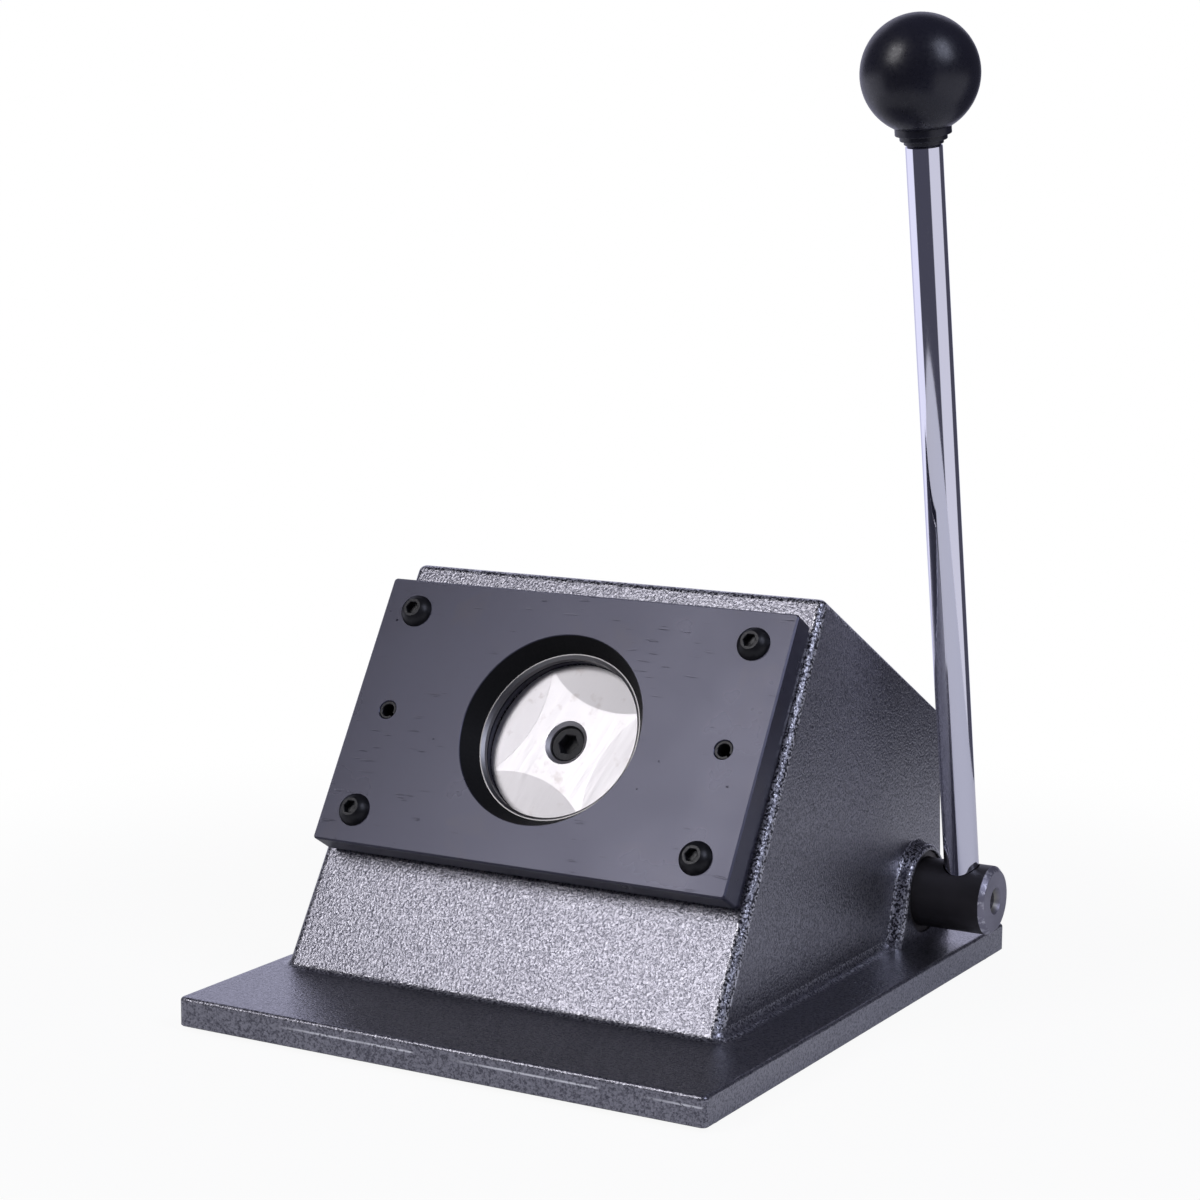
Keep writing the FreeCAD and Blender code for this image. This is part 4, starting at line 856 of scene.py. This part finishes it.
def slit_pin():
    """A slit spring pin: its wall's section carried round from one side of the slit to the other.

    At radius r the slit takes asin(half slit / r) on each side.
    """
    rings = [(4.0, -10.0), (4.0, 15.0), (3.75, 15.3), (2.95, 15.3), (2.7, 15.05), (2.7, -10.0)]
    rings = np.array(rings) * mm
    gap = np.arcsin(0.8 * mm / rings[:, 0])
    share = np.linspace(0, 1, 41)[:, None]
    a = math.radians(-35.0) + gap + (2 * np.pi - 2 * gap) * share
    wall = np.stack(np.broadcast_arrays(rings[:, 0] * np.cos(a), rings[:, 0] * np.sin(a), rings[:, 1]), -1)
    first, last = (np.broadcast_to(end.mean(0), (1, *end.shape)) for end in (wall[0], wall[-1]))
    return np.concatenate([first, wall, last])


class CUTTER_OT_die_stack(bpy.types.Operator):
    """Build the blackened die plate, its button head screws and its slit pins"""

    bl_idname = "cutter.die_stack"
    bl_label = "Die stack"

    def execute(self, context):
        look = context.scene.cutter_die
        # The mouth's wall gets a near black painted shade, darker than the oxide
        wall = grained("mouth_wall", look.wall_shade_colour, 0.6, 900.0, 0.02, gloss=0.25)
        steel = blackened_steel("blackened_die", look)
        die = build("die", [die_plate(look)], steel, "frame", ["die_plate"])
        die.data.materials.append(wall)
        die.data.materials.append(turned_metal("cutting_land", look.land_colour, 0.36))
        die_faces(look, die.data)

        black = grained("screw_black", look.screw_colour, 0.36, 1400.0, 0.01, 0.4)
        head = socket_head(7.1, 0.4, 3.9, 4.4, 5.0, 2.8, 0.55, [(0, -25.2), (4, -25.2), (4, 0)])
        places = [(i * look.screw_x / 2, j * look.screw_y / 2) for i in (-1, 1) for j in (-1, 1)]
        heads = [quads_of(on_slope(head + [u, v, STACK])) for u, v in places]
        build("button_screws", heads, black, "frame", ["die_screws"])
        pins = [quads_of(on_slope(slit_pin() + [s * look.pin_x / 2, 0, 0]), False, True) for s in (-1, 1)]
        build("slit_pins", pins, black, "frame", ["locating_pins"])
        return {"FINISHED"}


# ---------------------------------------------------------------- punch

def punch_shell(look):
    """The punch: its face in polar coordinates, with a grid line on every scallop's edge.

    A ray at angle d from a scallop's direction meets its edge at orbit cos d - sqrt(R^2 - (orbit sin d)^2);
    beyond it the face falls by (R - distance from the scallop's centre) tan(slope).
    """
    top, back, floor, ledge = 0.3 * mm, -17.7 * mm, -11.7 * mm, 7.9 * mm
    radius, scallop = look.radius, look.scallop_radius
    quarter = np.pi / 4
    orbit = radius * math.cos(quarter) + math.sqrt(scallop ** 2 - (radius * math.sin(quarter)) ** 2)
    d = np.tile(np.linspace(-quarter, quarter, 41)[:-1], 4)
    a = look.scallop_turn + d + np.repeat(np.arange(4) * np.pi / 2, 40)
    edge = np.minimum(orbit * np.cos(d) - np.sqrt(scallop ** 2 - (orbit * np.sin(d)) ** 2), radius)
    inner = np.linspace(look.counterbore, edge, 4)
    outer = np.linspace(edge, radius, 14)[1:]
    distance = np.sqrt(outer ** 2 + orbit ** 2 - 2 * orbit * outer * np.cos(d))
    fall = np.maximum(scallop - distance, 0) * math.tan(look.scallop_slope)
    rings = [(0, floor), (ledge, floor), (ledge, top - 1.1 * mm), *((r, top) for r in inner),
             *zip(outer, top - fall), (radius, back), (0, back)]
    return quads_of(on_slope(ring_grid(rings, a)))


class CUTTER_OT_punch(bpy.types.Operator):
    """Build the scalloped punch and the socket screw in its middle"""

    bl_idname = "cutter.punch"
    bl_label = "Punch"

    def execute(self, context):
        look = context.scene.cutter_punch
        build("scalloped_punch", [punch_shell(look)], ground_punch(look), "ram", ["punch"],
              sharp=2.0)
        black = grained("socket_black", context.scene.cutter_die.screw_colour, 0.55, 1400.0, 0.03)
        screw = socket_head(7.6, 9.4, 7.0, 10.0, 8.0, 5.0, 0.0, [(0, -24), (5, -24), (5, 0)])
        build("cap_screw", [quads_of(on_slope(screw + [0, 0, -11.7 * mm]))], black, "ram", ["punch_screw"])
        return {"FINISHED"}


# ---------------------------------------------------------------- shaft and lever

def cross_shaft(look):
    """The shaft as rings along x. Round the lever's foot the rings follow the spot face.

    At side distance p from the lever's line the spot face spans x = lever +- sqrt(spot^2 - p^2),
    where the shaft's surface drops to the spot face's height.
    """
    r, spot, flat = look.shaft_radius, look.spot_radius, look.spot_height
    limit = math.acos(flat / r)
    beta = np.concatenate([np.linspace(-1, 1, 41) * limit, np.linspace(limit, 2 * np.pi - limit, 77)[1:-1]])
    p, q = np.sin(beta), np.cos(beta)
    sunk = np.minimum(q * r, flat)
    half = np.sqrt(spot ** 2 - np.minimum(np.abs(p) * r, math.sqrt(r * r - flat * flat)) ** 2)
    cut, step, near = 2 * mm, 0.01 * mm, 0.15 * mm
    left, right, lever = look.shaft_left, look.shaft_right, LEVER_X

    def ring(radius, x):
        """One ring of the shaft at x."""
        return radius * p, radius * q, x

    rows = [ring(0, left), ring(r - cut, left), ring(r, left + cut), ring(r, lever - half - step),
            (r * p, sunk, lever - half), (r * p, sunk, lever + half), ring(r, lever + half + step),
            ring(r, right - cut - 0.3 * mm), ring(r - 0.1 * mm, right - cut),
            ring(r - cut + near, right - 0.12 * mm), ring(r - cut - near, right),
            ring(5.9 * mm, right), ring(3.2 * mm, right - 2.9 * mm), ring(0, right - 4.9 * mm)]
    grid = np.stack([np.stack(np.broadcast_arrays(*row), 1) for row in rows], 1)
    return quads_of(carried(grid, SHAFT, BESIDE_LEVER, ALONG_LEVER, ACROSS))


def ball_profile(look):
    """The ball's half circle from its crown down to the stepped neck."""
    r, c, neck_radius = look.ball_radius, look.ball_height, 11.4
    waist = math.sqrt(r * r - (neck_radius * mm) ** 2)
    a = np.linspace(np.pi / 2, -math.atan2(waist, neck_radius * mm), 49)
    globe = np.stack([r * np.cos(a), c + r * np.sin(a)], 1)
    steps = [(neck_radius, -21.3), (neck_radius, -24.0), (9.6, -24.0), (9.6, -26.2), (8.0, -26.2),
             (8.0, -27.8), (0.0, -27.8)]
    neck, _ = rounded(np.array(steps) * mm + [0, c], np.array([0, 0.35, 0.2, 0.35, 0.2, 0.35, 0]) * mm, 3)
    return np.vstack([globe, neck])


class CUTTER_OT_lever(bpy.types.Operator):
    """Build the cross shaft, its right bush, the plated rod and the ball"""

    bl_idname = "cutter.lever"
    bl_label = "Shaft and lever"

    def execute(self, context):
        look = context.scene.cutter_lever
        build("shaft", [cross_shaft(look)], oiled_shaft(look), "lever", ["cross_shaft"],
              sharp=20.0)
        r, top, stud, foot, end = look.rod_radius, look.rod_top, 6 * mm, 12 * mm, look.rod_top + 31.8 * mm
        rod = [(0, -8 * mm), (stud, -8 * mm), (stud, foot), (r - mm, foot), (r, foot + mm), (r, top - mm),
               (r - mm, top), (stud, top), (stud, end), (0, end)]
        build("rod", [quads_of(about_lever(lathe(rod, 0, 96, 1)))], bright_plating(look), "lever",
              ["lever_rod"])
        ball = grained("ball_phenolic", look.ball_colour, 0.31, 700.0, 0.012)
        build("ball", [quads_of(about_lever(ring_grid(ball_profile(look), turn(128))))], ball, "lever",
              ["ball_knob"])
        bush = [(15.05, 69.6), (18.0, 69.6), (18.0, 88.05), (17.6, 88.45), (15.4, 88.45), (15.05, 88.1)]
        ring = quads_of(about_shaft(ring_grid(bush, turn(96)) * mm), True, True)
        bronze = turned_metal("bush_bronze", look.bush_colour, 0.5)
        build("right_bush", [ring], bronze, "frame", ["shaft_bush_right"])
        return {"FINISHED"}


class CUTTER_OT_pads(bpy.types.Operator):
    """Build the four rubber pads under the base"""

    bl_idname = "cutter.pads"
    bl_label = "Rubber pads"

    def execute(self, context):
        pad = lathe([(0, 0), (8.5, 0), (8.5, 4), (0, 4)], [0, 0.8, 0.2, 0], 48)
        corners = [(x, y, 0) for x in (-119.55, 99.45) for y in (-127.25, 127.25)]
        shells = [quads_of((pad + corner) * mm) for corner in corners]
        rubber = grained("pad_rubber", (0.02, 0.02, 0.02), 0.75, 500.0, 0.04)
        build("pads", shells, rubber, "frame", ["foot_pads"])
        return {"FINISHED"}


class CUTTER_OT_inner_finishes(bpy.types.Operator):
    """Give every piece that stays as its CAD node its own finish"""

    bl_idname = "cutter.inner_finishes"
    bl_label = "Finishes of the inner pieces"

    def execute(self, context):
        look = context.scene.cutter_die
        bright = turned_metal("machined_steel", (0.46, 0.46, 0.48), 0.32)
        wire = grained("spring_wire", (0.05, 0.05, 0.055), 0.38, 600.0, 0.01, 0.7)
        bronze = turned_metal("bronze", (0.42, 0.27, 0.13), 0.38)
        dark = blackened_steel("blackened_strip", look, False)
        screw = grained("inner_screw_black", look.screw_colour, 0.4, 1200.0, 0.01, 0.4)
        sheet = grained("cover_sheet", (0.11, 0.11, 0.12), 0.48, 350.0, 0.05, 0.4)
        finishes = {
            sheet: ["base_cover"],
            wire: ["return_spring"],
            bronze: ["guide_bush", "shaft_bush_left", "thrust_washer"],
            dark: ["stripper_plate", "spacer_left", "spacer_right"],
            screw: ["cover_screws", "guide_key_screw", "cam_set_screw", "collar_set_screw"],
            bright: ["ram", "cam", "cam_key", "cam_roller", "roller_pin", "pin_rings", "stop_collar",
                     "stop_pin", "spring_seat"],
        }
        for material, names in finishes.items():
            for name in names:
                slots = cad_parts[name].material_slots
                if not slots:
                    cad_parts[name].data.materials.append(material)
                for slot in slots:
                    slot.material = material
        return {"FINISHED"}


# ---------------------------------------------------------------- stage

def table_material(look):
    """A pale table top, white to the eye, that keeps the object's soft shadow and fades out at its rim."""
    t = material_tree("pale_table")
    tone = t.tones(t.noise(500.0, 2.0, 0.5), look.floor_colour, 0.985, 1.0)
    matte = t.first("BsdfDiffuse", {"Color": tone})
    glow = t.first("Emission", {"Color": WHITE, "Strength": 1.0})
    away = t.add("VectorMath", {0: t.place}, operation="LENGTH").outputs["Value"]
    white = t.spread(away, 0.5 * look.table_radius, look.table_radius, look.table_glow, 1.0, True)
    seen = t.times(white, t.add("LightPath").outputs["Is Camera Ray"])
    out = t.first("MixShader", {0: seen, 1: matte, 2: glow})
    return t.finish("OutputMaterial", out)


def studio_world(look):
    """White to the eye; reflections see a dim room with three pale patches; the rest is soft light.

    A patch is the product of three smooth steps: one on the cosine between a direction's azimuth and the
    patch's, and two on the sine of its elevation.
    """
    t = Tree(bpy.data.worlds.new("studio"), "Generated")
    x, y, z = t.parts()
    level = t.radius(x, y)
    room = rgba(look.room_colour)
    for azimuth, width, low, high, soft, colour in ROOM_PATCHES:
        a = math.radians(azimuth)
        cosine = t.calc("DIVIDE", t.sum(t.times(x, math.sin(a)), t.times(y, -math.cos(a))), level)
        edge = math.cos(math.radians(width / 2))
        low, high = math.sin(math.radians(low)), math.sin(math.radians(high))
        inside = t.times(t.spread(cosine, edge - soft, edge + soft, smooth=True),
                         t.spread(z, low - soft, low + soft, smooth=True),
                         t.spread(z, high - soft, high + soft, 1.0, 0.0, smooth=True))
        room = t.mix(inside, room, colour)
    soft, dim, white = (t.first("Background", {0: colour, 1: strength})
                        for colour, strength in ((SOFT_LIGHT, look.world_level), (room, 1.0), (WHITE, 1.0)))
    rays = t.add("LightPath").outputs
    mirror = t.calc("MAXIMUM", rays["Is Glossy Ray"], rays["Is Transmission Ray"])
    unseen = t.first("MixShader", {0: mirror, 1: soft, 2: dim})
    out = t.first("MixShader", {0: rays["Is Camera Ray"], 1: unseen, 2: white})
    return t.finish("OutputWorld", out)


def lamp(name, place, aim_height, width, height, power, colour):
    """A soft upright lamp that points to a height above the origin."""
    light = bpy.data.lights.new(name, "AREA")
    light.shape = "RECTANGLE"
    light.size, light.size_y, light.energy, light.color = width, height, power, colour
    source = bpy.data.objects.new(name, light)
    source.location = place
    source.rotation_euler = (Vector((0, 0, aim_height)) - Vector(place)).to_track_quat("-Z", "Y").to_euler()
    source.visible_camera = False
    bpy.context.scene.collection.objects.link(source)


def view_matrix():
    """The camera's place and turns: rolled about its own line, tipped up and turned about z."""
    return (Matrix.Translation(VIEW_PLACE) @ Matrix.Rotation(VIEW_AZIMUTH, 4, "Z")
            @ Matrix.Rotation(math.pi / 2 - VIEW_ELEVATION, 4, "X") @ Matrix.Rotation(VIEW_ROLL, 4, "Z"))


class CUTTER_OT_stage(bpy.types.Operator):
    """Set the floor, background, lamps and camera"""

    bl_idname = "cutter.stage"
    bl_label = "Stage"

    def execute(self, context):
        look = context.scene.cutter_stage
        disc = ring_grid([(radius, 0.0) for radius in (0.0, 0.2, 0.4, look.table_radius)], turn(96))
        table = bpy.data.objects.new("table_top", mesh_from("table_top", *quads_of(disc)))
        table.data.materials.append(table_material(look))
        context.scene.collection.objects.link(table)
        context.scene.world = studio_world(look)
        lamp("soft_box", (-1.25, -2.05, 1.95), 0.10, 0.95, 1.4, look.key_power, (0.985, 0.97, 1.0))
        lamp("side_box", (2.39, -0.51, 2.27), 0.20, 1.3, 1.7, look.fill_power, (0.76, 0.80, 1.0))

        camera = bpy.data.cameras.new("camera")
        camera.lens, camera.sensor_width, camera.sensor_fit = look.lens, 36.0, "HORIZONTAL"
        camera.clip_start, camera.clip_end = 0.05, 50.0
        viewer = bpy.data.objects.new("camera", camera)
        context.scene.collection.objects.link(viewer)
        viewer.matrix_world = view_matrix()
        context.scene.camera = viewer
        context.scene.view_settings.view_transform = "Standard"
        return {"FINISHED"}


class CUTTER_PT_panel(bpy.types.Panel):
    """Lists the settings and the steps that build the cutter"""

    bl_idname = "CUTTER_PT_panel"
    bl_label = "Circle cutter"
    bl_space_type = "VIEW_3D"
    bl_region_type = "UI"
    bl_category = "Cutter"

    def draw(self, context):
        for group in GROUPS:
            box = self.layout.box()
            settings = getattr(context.scene, group)
            for name in settings.__annotations__:
                box.prop(settings, name)
        for step in STEPS:
            self.layout.operator("cutter." + step)


GROUPS = {"cutter_casting": CastingLook, "cutter_die": DieLook, "cutter_punch": PunchLook,
          "cutter_lever": LeverLook, "cutter_stage": StageLook}
OPERATORS = (CUTTER_OT_casting, CUTTER_OT_die_stack, CUTTER_OT_punch, CUTTER_OT_lever, CUTTER_OT_pads,
             CUTTER_OT_inner_finishes, CUTTER_OT_stage)
STEPS = ("casting", "die_stack", "punch", "lever", "pads", "inner_finishes", "stage")


def register():
    for cls in (*GROUPS.values(), *OPERATORS, CUTTER_PT_panel):
        bpy.utils.register_class(cls)
    for name, cls in GROUPS.items():
        setattr(bpy.types.Scene, name, PointerProperty(type=cls))


def unregister():
    for name in GROUPS:
        delattr(bpy.types.Scene, name)
    for cls in reversed((*GROUPS.values(), *OPERATORS, CUTTER_PT_panel)):
        bpy.utils.unregister_class(cls)


def main():
    """Builds every piece in order."""
    register()
    for step in STEPS:
        getattr(bpy.ops.cutter, step)()


if __name__ == "__main__":
    main()
